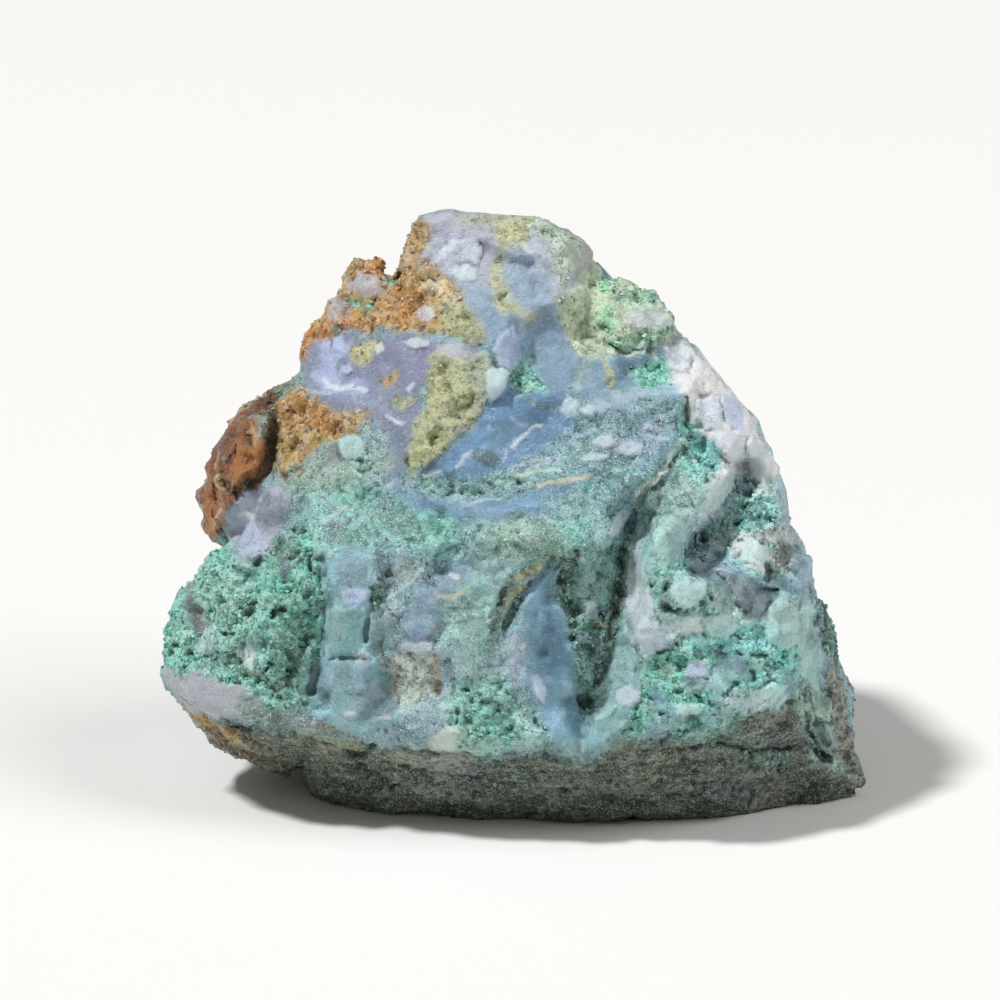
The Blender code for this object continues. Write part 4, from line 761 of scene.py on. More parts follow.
PLATES = [
    ("ridge_sheet", "glass", "white_quartz", 0.6,
     [(628, 546), (640, 550), (647, 578), (652, 610), (662, 636), (650, 648), (634, 640), (624, 604)]),
    ("ridge_top_sheet", "glass", "bright_mint", 0.5,
     [(650, 520), (670, 514), (692, 530), (684, 552), (666, 566), (650, 554)]),
    ("ridge_low_sheet", "quartz", "pale_lilac", 0.4, [(630, 634), (650, 626), (668, 634), (660, 650), (642, 656)]),
    ("right_block", "glass", "bright_mint", 0.5,
     [(756, 604), (776, 596), (798, 612), (800, 640), (784, 652), (766, 640)]),
    ("right_chip", "glass", "mint_quartz", 0.4, [(700, 618), (722, 612), (738, 624), (728, 638), (706, 636)]),
    ("low_chip_left", "quartz", "white_quartz", 0.45, [(616, 688), (630, 684), (640, 694), (632, 706), (618, 702)]),
    ("low_chip_right", "quartz", "pale_lilac", 0.4, [(684, 662), (700, 658), (706, 670), (694, 680), (684, 676)]),
    ("tall_flake", "quartz", "bright_lavender", 0.6,
     [(492, 352), (500, 336), (515, 326), (518, 344), (524, 358), (513, 373), (500, 366)]),
    ("tall_flake_foot", "quartz", "grey_quartz", 0.3,
     [(486, 370), (500, 367), (511, 374), (504, 392), (490, 404), (486, 392)]),
    ("mint_crystal", "quartz", "mint_quartz", 0.55,
     [(339, 442), (348, 436), (362, 437), (367, 448), (358, 460), (344, 458)]),
    ("lilac_crystal", "quartz", "bright_lavender", 0.4,
     [(238, 536), (244, 525), (256, 523), (262, 534), (264, 552), (250, 555), (238, 550)]),
    ("column_glint", "quartz", "bright_lavender", 0.3,
     [(344, 592), (360, 588), (372, 591), (370, 600), (358, 606), (344, 603)]),
    ("lower_flake", "quartz", "pale_lilac", 0.25,
     [(400, 644), (414, 641), (432, 643), (434, 649), (416, 652), (402, 650)]),
    ("mid_flake", "quartz", "white_quartz", 0.45,
     [(606, 536), (612, 520), (620, 508), (629, 512), (626, 524), (616, 536)]),
    ("boulder", "quartz", "mint_quartz", 0.8,
     [(666, 592), (674, 582), (688, 579), (701, 585), (702, 598), (690, 607), (674, 606)]),
    ("clod_left", "quartz", "grey_quartz", 0.5,
     [(562, 402), (570, 398), (578, 404), (576, 416), (566, 420), (560, 412)]),
    ("clod_right", "quartz", "grey_quartz", 0.35,
     [(580, 410), (588, 405), (596, 410), (592, 417), (582, 418)]),
    ("fleck_left", "quartz", "pale_lilac", 0.25,
     [(590, 444), (600, 436), (611, 437), (616, 446), (604, 450)]),
    ("fleck_right", "quartz", "pale_lilac", 0.25,
     [(612, 452), (620, 442), (632, 440), (643, 446), (640, 455), (624, 456)]),
    ("fleck_low", "quartz", "grey_quartz", 0.2,
     [(576, 458), (590, 453), (608, 456), (604, 461), (584, 463)]),
    ("right_low_flake", "quartz", "bright_lavender", 0.4,
     [(683, 668), (692, 664), (705, 666), (706, 674), (696, 678), (684, 676)]),
    ("right_foot_flake", "quartz", "pale_lilac", 0.4,
     [(615, 690), (624, 684), (634, 688), (638, 696), (628, 699), (617, 697)]),
    ("slope_crystal", "quartz", "white_quartz", 0.35,
     [(417, 312), (424, 307), (434, 309), (436, 318), (428, 323), (418, 320)]),
    ("slope_crystal_low", "quartz", "white_quartz", 0.3,
     [(402, 344), (416, 339), (431, 341), (430, 348), (414, 350)]),
    ("ochre_crystal", "quartz", "cream", 0.3, [(374, 346), (382, 343), (385, 351), (378, 356)]),
    ("lavender_tooth_left", "quartz", "bright_lavender", 0.35,
     [(321, 343), (327, 337), (332, 344), (328, 353), (322, 351)]),
    ("lavender_tooth_middle", "quartz", "bright_lavender", 0.35,
     [(334, 340), (342, 336), (347, 343), (343, 354), (335, 352)]),
    ("lavender_tooth_low", "quartz", "bright_lavender", 0.3,
     [(342, 366), (350, 364), (354, 371), (348, 376), (341, 373)]),
    ("cap_flake", "quartz", "pale_lilac", 0.35,
     [(438, 254), (452, 242), (474, 240), (481, 250), (479, 266), (462, 262), (448, 268)]),
    ("cap_flake_low", "quartz", "grey_quartz", 0.25,
     [(450, 272), (466, 265), (477, 272), (474, 282), (458, 282)]),
    ("quartz_high", "quartz", "white_quartz", 0.5,
     [(664, 356), (680, 352), (692, 356), (688, 370), (672, 374)]),
    ("quartz_beige", "quartz", "warm_quartz", 0.4,
     [(690, 372), (704, 368), (718, 376), (716, 392), (700, 396), (688, 388)]),
    ("quartz_middle", "quartz", "pale_lilac", 0.6,
     [(696, 402), (712, 398), (722, 410), (720, 428), (706, 432), (696, 420)]),
    ("quartz_side", "quartz", "bright_lavender", 0.6,
     [(720, 396), (734, 398), (744, 414), (742, 432), (728, 428), (722, 412)]),
    ("quartz_low", "quartz", "white_quartz", 0.6,
     [(712, 436), (728, 432), (744, 440), (746, 458), (730, 462), (716, 450)]),
    ("quartz_corner", "quartz", "white_quartz", 0.6,
     [(748, 438), (760, 444), (774, 466), (770, 476), (752, 474), (746, 458)]),
    ("tail_plate", "quartz", "grey_quartz", 0.35,
     [(700, 506), (712, 488), (726, 472), (738, 468), (730, 490), (714, 514), (702, 518)]),
    ("right_plate", "quartz", "mint_quartz", 0.35,
     [(738, 548), (752, 540), (768, 546), (770, 560), (756, 566), (742, 562)]),
    ("lower_right_plate", "quartz", "mint_quartz", 0.35,
     [(756, 690), (770, 682), (786, 684), (780, 694), (764, 700)]),
    ("ledge_plate", "quartz", "grey_quartz", 0.3,
     [(672, 704), (690, 700), (704, 706), (696, 714), (676, 713)]),
    ("violet_plate", "glass", "violet_grey", 0.25,
     [(693, 566), (702, 562), (713, 564), (714, 574), (704, 580), (696, 574)]),
    ("violet_plate_large", "glass", "violet_grey", 0.3,
     [(726, 574), (740, 574), (752, 582), (757, 592), (750, 606), (744, 610), (734, 598), (726, 586)]),
    ("violet_triangle", "glass", "slate_grey", 0.35,
     [(758, 590), (766, 594), (771, 602), (764, 612), (757, 620), (749, 612), (751, 600)]),
    ("leaf_plate", "glass", "slate_grey", 0.3,
     [(781, 568), (786, 578), (784, 589), (777, 586), (776, 576)]),
    ("edge_violet", "glass", "slate_grey", 0.3,
     [(786, 542), (800, 545), (806, 560), (799, 573), (790, 564)]),
    ("mint_plate", "quartz", "pale_moss", 0.3,
     [(771, 598), (779, 590), (788, 594), (785, 606), (775, 609)]),
    ("edge_clear", "glass", "pale_teal", 0.3,
     [(800, 604), (811, 606), (816, 640), (819, 676), (816, 688), (806, 680), (799, 660), (795, 632)]),
    ("mint_plate_small", "quartz", "mint_quartz", 0.25,
     [(784, 622), (794, 618), (802, 626), (794, 634), (784, 632)]),
    ("violet_pool", "glass", "deep_blue", 0.2,
     [(722, 656), (736, 652), (745, 660), (741, 672), (726, 670)]),
    ("violet_foot", "glass", "violet_grey", 0.3,
     [(682, 676), (700, 676), (708, 680), (700, 690), (684, 691)]),
    ("corner_plate_high", "glass", "corner_green", 0.35,
     [(806, 690), (822, 692), (830, 700), (828, 712), (818, 713), (808, 706)]),
    ("corner_plate_low", "glass", "corner_green", 0.35,
     [(813, 726), (826, 728), (835, 738), (832, 752), (820, 748), (812, 738)]),
    ("under_plate", "layered", "under_violet", 0.35,
     [(770, 734), (790, 728), (804, 736), (800, 746), (780, 748)]),
    ("teal_block", "glass", "teal_grey", 0.3,
     [(330, 610), (361, 607), (363, 640), (356, 655), (331, 656), (326, 632)]),
    ("low_block", "glass", "grey_blue", 0.25,
     [(319, 662), (340, 657), (365, 667), (368, 690), (342, 694), (318, 690)]),
    ("lilac_patch", "glass", "lilac_grey", 0.25,
     [(354, 652), (366, 650), (372, 660), (369, 669), (361, 663)]),
    ("grey_block", "glass", "block_grey", 0.35,
     [(372, 622), (390, 613), (398, 622), (396, 644), (382, 652), (370, 648)]),
    ("green_lens", "glass", "block_grey", 0.2,
     [(456, 620), (470, 613), (484, 616), (489, 625), (478, 636), (462, 633)]),
    ("centre_arc", "glass", "slate_blue", 0.3,
     [(404, 612), (416, 604), (432, 608), (440, 620), (430, 636), (412, 640), (402, 628)]),
    ("column_pale", "quartz", "pale_lilac", 0.3,
     [(530, 674), (538, 672), (546, 690), (544, 703), (537, 697)]),
    ("hollow_lilac", "glass", "lilac_grey", 0.3,
     [(584, 602), (594, 598), (599, 611), (591, 620), (584, 614)]),
    ("foot_mint_plate", "quartz", "mint_quartz", 0.3,
     [(590, 712), (606, 702), (616, 704), (610, 714), (594, 720)]),
]
PLATE_EDGE = 0.16
PLATE_LIFT = 0.8
PLATE_COVER = 0.75
PLATE_FLATNESS = 0.75

# Grains: the coat that they grow on, the number to a square mm, their least and greatest
# width in mm, and the seed of their places

GRAINS = {
    "moss_grains": ("moss", 30.0, 0.07, 0.28, 3),
    "rust_grains": ("rust", 18.0, 0.07, 0.26, 5),
    "olive_grains": ("olive", 16.0, 0.06, 0.20, 7),
    "druse_grains": ("druse", 5.0, 0.05, 0.17, 9),
}

# The light of the studio
WORLD_LIGHT = 0.18
WORLD_TINT = (1.0, 0.96, 0.90)
KEY_POWER = 31.2
KEY_SIZE = 0.25
KEY_DISTANCE = 2.0
KEY_FROM = (-0.49, -0.07, 0.87)
FILL_POWER = 3.5
FILL_SIZE = 0.6
FILL_DISTANCE = 1.0
FILL_FROM = (0.66, -0.14, 0.74)
FLOOR_COLOUR = (0.90, 0.895, 0.885)
FLOOR_SIZE = 4.0


def smooth_step(x):
    x = np.clip(x, 0, 1)
    return x * x * (3 - 2 * x)


def seen_colour(name):
    """A colour of the list as the share of light that its surface gives back."""
    share = np.array(COLOURS[name]) / 255
    share = np.where(share <= 0.04045, share / 12.92, ((share + 0.055) / 1.055) ** 2.4)
    return share * min(SHADED_SHARE, MOST_SHARE / share.max())


def in_mm(outline):
    """Points of the picture as (across, rise) in mm."""
    outline = np.array(outline, float)
    across = (outline[:, 0] - MIDDLE_POINT) / POINTS_PER_MM
    rise = (FOOT_POINT - outline[:, 1]) / POINTS_PER_MM
    return np.stack((across, rise), axis=1)


def points_of(mesh):
    """The points of the mesh in mm, before the solid was moved over its origin."""
    points = np.empty(len(mesh.vertices) * 3, np.float32)
    mesh.vertices.foreach_get("co", points)
    return points.reshape(-1, 3).astype(float) / MM + MOVED


def put_points(mesh, points):
    mesh.vertices.foreach_set("co", ((points - MOVED) * MM).astype(np.float32).ravel())
    mesh.update()


def normals_of(mesh):
    normals = np.empty(len(mesh.vertices) * 3, np.float32)
    mesh.vertices.foreach_get("normal", normals)
    return normals.reshape(-1, 3).astype(float)


def picture_of(points):
    """(across, rise) of each point, as the viewer of the show side sees them."""
    rise = points[:, 2] * math.cos(LOOK_DOWN)
    rise = rise + (points[:, 1] - FRONT_REST) * math.sin(LOOK_DOWN)
    return np.stack((points[:, 0], rise), axis=1)


def evaluated(mesh, add_modifiers):
    """The mesh as it is once add_modifiers has put its modifiers on it."""
    work = bpy.data.objects.new("work", mesh)
    bpy.context.scene.collection.objects.link(work)
    add_modifiers(work)
    bpy.context.view_layer.update()
    graph = bpy.context.evaluated_depsgraph_get()
    result = bpy.data.meshes.new_from_object(work.evaluated_get(graph))
    bpy.data.objects.remove(work)
    return result


def add_piece(name, mesh):
    piece = bpy.data.objects.new(name, mesh)
    bpy.context.scene.collection.objects.link(piece)
    return piece


def dense_stone():
    """The solid's copy with a dense skin, its flat triangles softened, coarser at the back."""
    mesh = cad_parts[STONE].data.copy()
    shape = bmesh.new()
    shape.from_mesh(mesh)
    bmesh.ops.remove_doubles(shape, verts=shape.verts, dist=0.001 * MM)
    shape.to_mesh(mesh)
    shape.free()

    def add_skin(work):
        skin = work.modifiers.new("skin", "REMESH")
        skin.mode = "VOXEL"
        skin.voxel_size = SKIN_CELL * MM
        soften = work.modifiers.new("soften", "SMOOTH")
        soften.factor = 0.5
        soften.iterations = SMOOTH_TIMES

    def thin_back(work):
        normals = normals_of(work.data)
        back = work.vertex_groups.new(name="back")
        for index in np.flatnonzero(normals @ np.array(TO_VIEWER) < BACK_FACING):
            back.add([int(index)], 1.0, "REPLACE")
        thin = work.modifiers.new("thin", "DECIMATE")
        thin.vertex_group = "back"
        thin.ratio = KEPT_FACES

    mesh = evaluated(evaluated(mesh, add_skin), thin_back)
    print("stone", len(mesh.loops) - 2 * len(mesh.polygons), "triangles")
    return mesh


def distance_to_outline(picture, outline):
    """How far each point lies from a closed outline, below zero inside it."""
    nearest = np.full(len(picture), np.inf)
    inside = np.zeros(len(picture), bool)
    for start, end in zip(outline, np.roll(outline, -1, axis=0)):
        run = end - start
        along = np.clip((picture - start) @ run / (run @ run), 0, 1)
        gap = np.linalg.norm(picture - start - along[:, None] * run, axis=1)
        nearest = np.minimum(nearest, gap)
        crosses = (start[1] > picture[:, 1]) != (end[1] > picture[:, 1])
        rise = run[1] if run[1] else 1e-9
        meets = start[0] + (picture[:, 1] - start[1]) * run[0] / rise
        inside ^= crosses & (picture[:, 0] < meets)
    return np.where(inside, -nearest, nearest)


def distance_to_path(picture, path):
    nearest = np.full(len(picture), np.inf)
    for start, end in zip(path, path[1:]):
        run = end - start
        along = np.clip((picture - start) @ run / (run @ run), 0, 1)
        gap = np.linalg.norm(picture - start - along[:, None] * run, axis=1)
        nearest = np.minimum(nearest, gap)
    return nearest


def wandered(points, rate, amount):
    """A vector of noise for each point."""
    return np.array([noise.noise_vector(Vector(p) * rate) for p in points]) * amount


def painted(points, normals):
    """The colour of each point, and how much of each kind of mineral it has."""
    count = len(points)
    colour = np.tile(seen_colour("druse_grey"), (count, 1))
    kinds = {kind: np.zeros(count) for kind in KINDS}
    kinds["druse"] += 1

    def cover(kind, name, share):
        nonlocal colour
        colour = colour + (seen_colour(name) - colour) * share[:, None]
        for other in kinds:
            kinds[other] = kinds[other] * (1 - share)
        kinds[kind] = kinds[kind] + share

    on_show = smooth_step((normals @ np.array(TO_VIEWER) - 0.02) / 0.2)
    drift = wandered(points, 0.22, SIDE_WANDER)
    for name, kind, tint, strength, middle, radii in SIDE_COATS:
        gap = np.linalg.norm((points + drift - np.array(middle)) / np.array(radii), axis=1)
        cover(kind, tint, strength * smooth_step((1 - gap) / SIDE_EDGE + 0.5))
    picture = picture_of(points)
    for amount, rate in WANDERS:
        picture = picture + wandered(points, rate, amount)[:, :2]
    cover("druse", "druse_grey", on_show)
    for name, kind, tint, edge, strength, outline in COATS:
        gap = distance_to_outline(picture, in_mm(outline))
        cover(kind, tint, strength * on_show * smooth_step(0.5 - gap / (edge * EDGE_SPREAD)))
    # Painted light: the right of the show side made lighter in colour
    painted_light = smooth_step((picture[:, 0] - PAINTED_LIGHT_START) / (PAINTED_LIGHT_FULL - PAINTED_LIGHT_START))
    painted_light = painted_light * on_show * (1 - kinds["layered"])
    colour = np.minimum(colour * (1 + painted_light[:, None] * PAINTED_LIGHT_GAIN), MOST_SHARE)
    fine = picture_of(points) + wandered(points, *LINE_WANDER)[:, :2]
    for name, kind, tint, half_width, strength, path in LINES:
        gap = distance_to_path(fine, in_mm(path)) - half_width
        cover(kind, tint, strength * on_show * smooth_step(0.5 - gap / LINE_EDGE))
    raised = np.zeros(count)
    for name, kind, tint, height, outline in PLATES:
        corners = in_mm(outline)
        middle = corners.mean(axis=0)
        share = on_show * smooth_step(0.5 - distance_to_outline(fine, corners) / PLATE_EDGE)
        turn = math.tau * noise.cell(Vector((*middle, 1.0)))
        along = (fine - middle) @ np.array((math.cos(turn), math.sin(turn)))
        reach = np.abs((corners - middle) @ np.array((math.cos(turn), math.sin(turn)))).max()
        lean = np.clip(0.5 + 0.5 * along / reach, 0, 1)
        cover(kind, tint, share * PLATE_COVER)
        raised = raised * (1 - share) + share * height * lean * PLATE_LIFT
    return colour, kinds, raised


def facet(point, size):
    """How far a point is raised by the tilt of its broken facet, and the facet's tone."""
    centre = noise.voronoi(point / size)[1][0]
    draw = noise.cell_vector(centre * LEAN_RATE + LEAN_SHIFT)
    return (draw * 2 - Vector((1, 1, 1))).dot(point / size - centre), draw.x


def relief(points, kinds):
    """How far each point is raised by the relief of its minerals, and its facets' tones."""
    shares = np.array([kinds[kind] for kind in KINDS])
    amounts = np.array([RELIEF[kind] for kind in KINDS])
    coarse, fine, lumpy, knobbly, pitted = amounts.T @ shares
    layered = kinds["layered"] > 0.5
    raised = np.zeros(len(points))
    tones = np.zeros((2, len(points)))
    for index, point in enumerate(map(Vector, points)):
        place = point * LAYER_STRETCH if layered[index] else point
        place = place + noise.noise_vector(place * 0.7) * FACET_WANDER
        big, tones[0, index] = facet(place, COARSE_FACET)
        small, tones[1, index] = facet(place, FINE_FACET)
        lift = coarse[index] * big * COARSE_LIFT + fine[index] * small
        if lumpy[index] > 0.02:
            lift += lumpy[index] * (LUMP_MEAN - noise.voronoi(place / BIG_LUMP)[0][0])
        if knobbly[index] > 0.02:
            lift += knobbly[index] * (LUMP_MEAN - noise.voronoi(place / SMALL_LUMP)[0][0])
        if pitted[index] > 0.02:
            hole = noise.fractal(place * PIT_RATE, 0.6, 2.0, 3) - PIT_START
            lift -= pitted[index] * min(max(hole * 2, 0), 1)
        raised[index] = lift
    return np.clip(raised, -MOST_RELIEF, MOST_RELIEF), tones


def broken_back(points, normals):
    """How far the big broken facets of the back and the sides raise each point."""
    away = smooth_step((0.15 - normals @ np.array(TO_VIEWER)) / 0.4) * smooth_step(points[:, 2] / 3 - 0.2)
    raised = np.zeros(len(points))
    for index in np.flatnonzero(away > 0.02):
        place = Vector(points[index])
        place = place + noise.noise_vector(place * 0.25) * 1.5
        raised[index] = facet(place, BACK_FACET)[0] * BACK_LIFT + noise.noise(place * 0.5) * BACK_LIFT
    return raised * away


def press_clefts(points, normals):
    """Presses the clefts of the show side in, away from the viewer."""
    on_show = smooth_step(normals @ np.array(TO_VIEWER) / 0.3)
    picture = picture_of(points) + wandered(points, 1.6, 0.16)[:, :2]
    depth = np.zeros(len(points))
    for path, half_width, deep in CLEFTS.values():
        gap = distance_to_path(picture, in_mm(path)) / half_width
        depth = np.maximum(depth, deep * smooth_step(1.6 - gap))
    return points - np.array(TO_VIEWER) * (depth * on_show)[:, None]


def hollow_share(mesh, points, times):
    """How much lower each point lies than those around it, in mm."""
    edges = np.empty(len(mesh.edges) * 2, np.int32)
    mesh.edges.foreach_get("vertices", edges)
    first, second = edges.reshape(-1, 2).T
    number = np.bincount(edges, minlength=len(points))[:, None]
    level = points
    for _ in range(times):
        total = np.zeros_like(level)
        for axis in range(3):
            total[:, axis] = np.bincount(first, level[second, axis], len(points))
            total[:, axis] += np.bincount(second, level[first, axis], len(points))
        level = total / number
    return ((level - points) * normals_of(mesh)).sum(axis=1)


def keep_attribute(mesh, name, values):
    """Keeps a value or a colour for each point on the mesh, for materials and grains."""
    if values.ndim == 1:
        attribute = mesh.attributes.new(name, "FLOAT", "POINT")
        attribute.data.foreach_set("value", values.astype(np.float32))
    else:
        attribute = mesh.attributes.new(name, "FLOAT_COLOR", "POINT")
        opaque = np.concatenate((values, np.ones((len(values), 1))), axis=1)
        attribute.data.foreach_set("color", opaque.astype(np.float32).ravel())


def make_stone():
    mesh = dense_stone()
    points = points_of(mesh)
    normals = normals_of(mesh)
    colour, kinds, plates = painted(points, normals)
    points = press_clefts(points, normals)
    raised, tones = relief(points, kinds)
    raised = raised * (1 - PLATE_FLATNESS * np.minimum(plates / PLATE_EDGE, 1))
    raised = raised + broken_back(points, normals)
    points = points + normals * raised[:, None] + np.array(TO_VIEWER) * plates[:, None]
    points[:, 2] = np.maximum(points[:, 2], 0)
    put_points(mesh, points)
    keep_attribute(mesh, "paint", colour)
    for kind in KINDS:
        keep_attribute(mesh, kind, kinds[kind])
    # How much lower each point lies, which the material darkens as painted shade in the hollows
    keep_attribute(mesh, "low", hollow_share(mesh, points, 6))
    keep_attribute(mesh, "big_tone", tones[0])
    keep_attribute(mesh, "small_tone", tones[1])
    mesh.polygons.foreach_set("use_smooth", [True] * len(mesh.polygons))
    mesh.name = "stone"
    return add_piece("stone", mesh)


def grain_tree():
    """Geometry nodes that scatter small broken grains over the coat of one mineral."""
    tree = bpy.data.node_groups.new("grains", "GeometryNodeTree")
    faces = tree.interface
    faces.new_socket("Geometry", in_out="INPUT", socket_type="NodeSocketGeometry")
    for name, kind in (
        ("Coat", "NodeSocketString"),
        ("Number", "NodeSocketFloat"),
        ("Smallest", "NodeSocketFloat"),
        ("Largest", "NodeSocketFloat"),
        ("Seed", "NodeSocketInt"),
        ("Material", "NodeSocketMaterial"),
    ):
        faces.new_socket(name, in_out="INPUT", socket_type=kind)
    faces.new_socket("Geometry", in_out="OUTPUT", socket_type="NodeSocketGeometry")
    nodes, links = tree.nodes, tree.links
    given = nodes.new("NodeGroupInput")
    result = nodes.new("NodeGroupOutput")

    coat = nodes.new("GeometryNodeInputNamedAttribute")
    coat.data_type = "FLOAT"
    links.new(given.outputs["Coat"], coat.inputs["Name"])
    strong = nodes.new("ShaderNodeMath")
    strong.operation = "POWER"
    strong.inputs[1].default_value = 1.5
    links.new(coat.outputs["Attribute"], strong.inputs[0])
    density = nodes.new("ShaderNodeMath")
    density.operation = "MULTIPLY"
    links.new(strong.outputs[0], density.inputs[0])
    links.new(given.outputs["Number"], density.inputs[1])

    clump = nodes.new("ShaderNodeTexNoise")
    clump.inputs["Scale"].default_value = 1.3 / MM
    clump.inputs["Detail"].default_value = 2.0
    thick = nodes.new("ShaderNodeMapRange")
    thick.inputs["From Min"].default_value = 0.42
    thick.inputs["From Max"].default_value = 0.58
    thick.inputs["To Min"].default_value = 0.15
    links.new(clump.outputs[0], thick.inputs["Value"])
    clumped = nodes.new("ShaderNodeMath")
    clumped.operation = "MULTIPLY"
    links.new(density.outputs[0], clumped.inputs[0])
    links.new(thick.outputs[0], clumped.inputs[1])

    scatter = nodes.new("GeometryNodeDistributePointsOnFaces")
    links.new(given.outputs["Geometry"], scatter.inputs["Mesh"])
    links.new(clumped.outputs[0], scatter.inputs["Density"])
    links.new(given.outputs["Seed"], scatter.inputs["Seed"])

    turn = nodes.new("FunctionNodeRandomValue")
    turn.data_type = "FLOAT_VECTOR"
    turn.inputs[0].default_value = (0, 0, 0)
    turn.inputs[1].default_value = (2 * math.pi, 2 * math.pi, 2 * math.pi)
    links.new(given.outputs["Seed"], turn.inputs["Seed"])

    pick = nodes.new("FunctionNodeRandomValue")
    pick.data_type = "FLOAT"
    links.new(given.outputs["Seed"], pick.inputs["Seed"])
    few = nodes.new("ShaderNodeMath")
    few.operation = "POWER"
    few.inputs[1].default_value = 2.2
    links.new(pick.outputs[1], few.inputs[0])
    width = nodes.new("ShaderNodeMapRange")
    links.new(few.outputs[0], width.inputs["Value"])
    links.new(given.outputs["Smallest"], width.inputs["To Min"])
    links.new(given.outputs["Largest"], width.inputs["To Max"])
    uneven = nodes.new("FunctionNodeRandomValue")
    uneven.data_type = "FLOAT_VECTOR"
    uneven.inputs[0].default_value = (0.4, 0.4, 0.4)
    uneven.inputs[1].default_value = (1.4, 1.4, 1.4)
    size = nodes.new("ShaderNodeVectorMath")
    size.operation = "SCALE"
    links.new(uneven.outputs[0], size.inputs[0])
    links.new(width.outputs[0], size.inputs["Scale"])

    grain = nodes.new("GeometryNodeMeshCube")
    grain.inputs["Size"].default_value = (0.8, 0.8, 0.8)
    place = nodes.new("GeometryNodeInstanceOnPoints")
    links.new(scatter.outputs["Points"], place.inputs["Points"])
    links.new(grain.outputs["Mesh"], place.inputs["Instance"])
    links.new(turn.outputs[0], place.inputs["Rotation"])
    links.new(size.outputs[0], place.inputs["Scale"])

    shade = nodes.new("FunctionNodeRandomValue")
    shade.data_type = "FLOAT"
    keep = nodes.new("GeometryNodeStoreNamedAttribute")
    keep.data_type = "FLOAT"
    keep.domain = "INSTANCE"
    keep.inputs["Name"].default_value = "shade"
    links.new(place.outputs["Instances"], keep.inputs["Geometry"])
    links.new(shade.outputs[1], keep.inputs["Value"])
    real = nodes.new("GeometryNodeRealizeInstances")
    links.new(keep.outputs["Geometry"], real.inputs["Geometry"])
    finish = nodes.new("GeometryNodeSetMaterial")
    links.new(real.outputs["Geometry"], finish.inputs["Geometry"])
    links.new(given.outputs["Material"], finish.inputs["Material"])
    links.new(finish.outputs["Geometry"], result.inputs["Geometry"])
    return tree


def set_input(modifier, name, value):
    """Sets a modifier's input by its socket's identifier."""
    for item in modifier.node_group.interface.items_tree:
        if item.item_type == "SOCKET" and item.in_out == "INPUT" and item.name == name:
            modifier[item.identifier] = value


def make_grains(stone, tree, name, material):
    coat, number, smallest, largest, seed = GRAINS[name]

    def add_grains(work):
        grains = work.modifiers.new("grains", "NODES")
        grains.node_group = tree
        set_input(grains, "Coat", coat)
        set_input(grains, "Number", number / MM**2)
        set_input(grains, "Smallest", smallest * MM)
        set_input(grains, "Largest", largest * MM)
        set_input(grains, "Seed", seed)
        set_input(grains, "Material", material)

    mesh = evaluated(stone.data.copy(), add_grains)
    mesh.name = name
    print(name, len(mesh.polygons), "triangles")
    return add_piece(name, mesh)


# Materials

DARK_GREEN = (0.012, 0.045, 0.032)
# White of the veins and scratches, and of painted glints
VEIN_AND_GLINT_WHITE = (0.80, 0.87, 0.96)
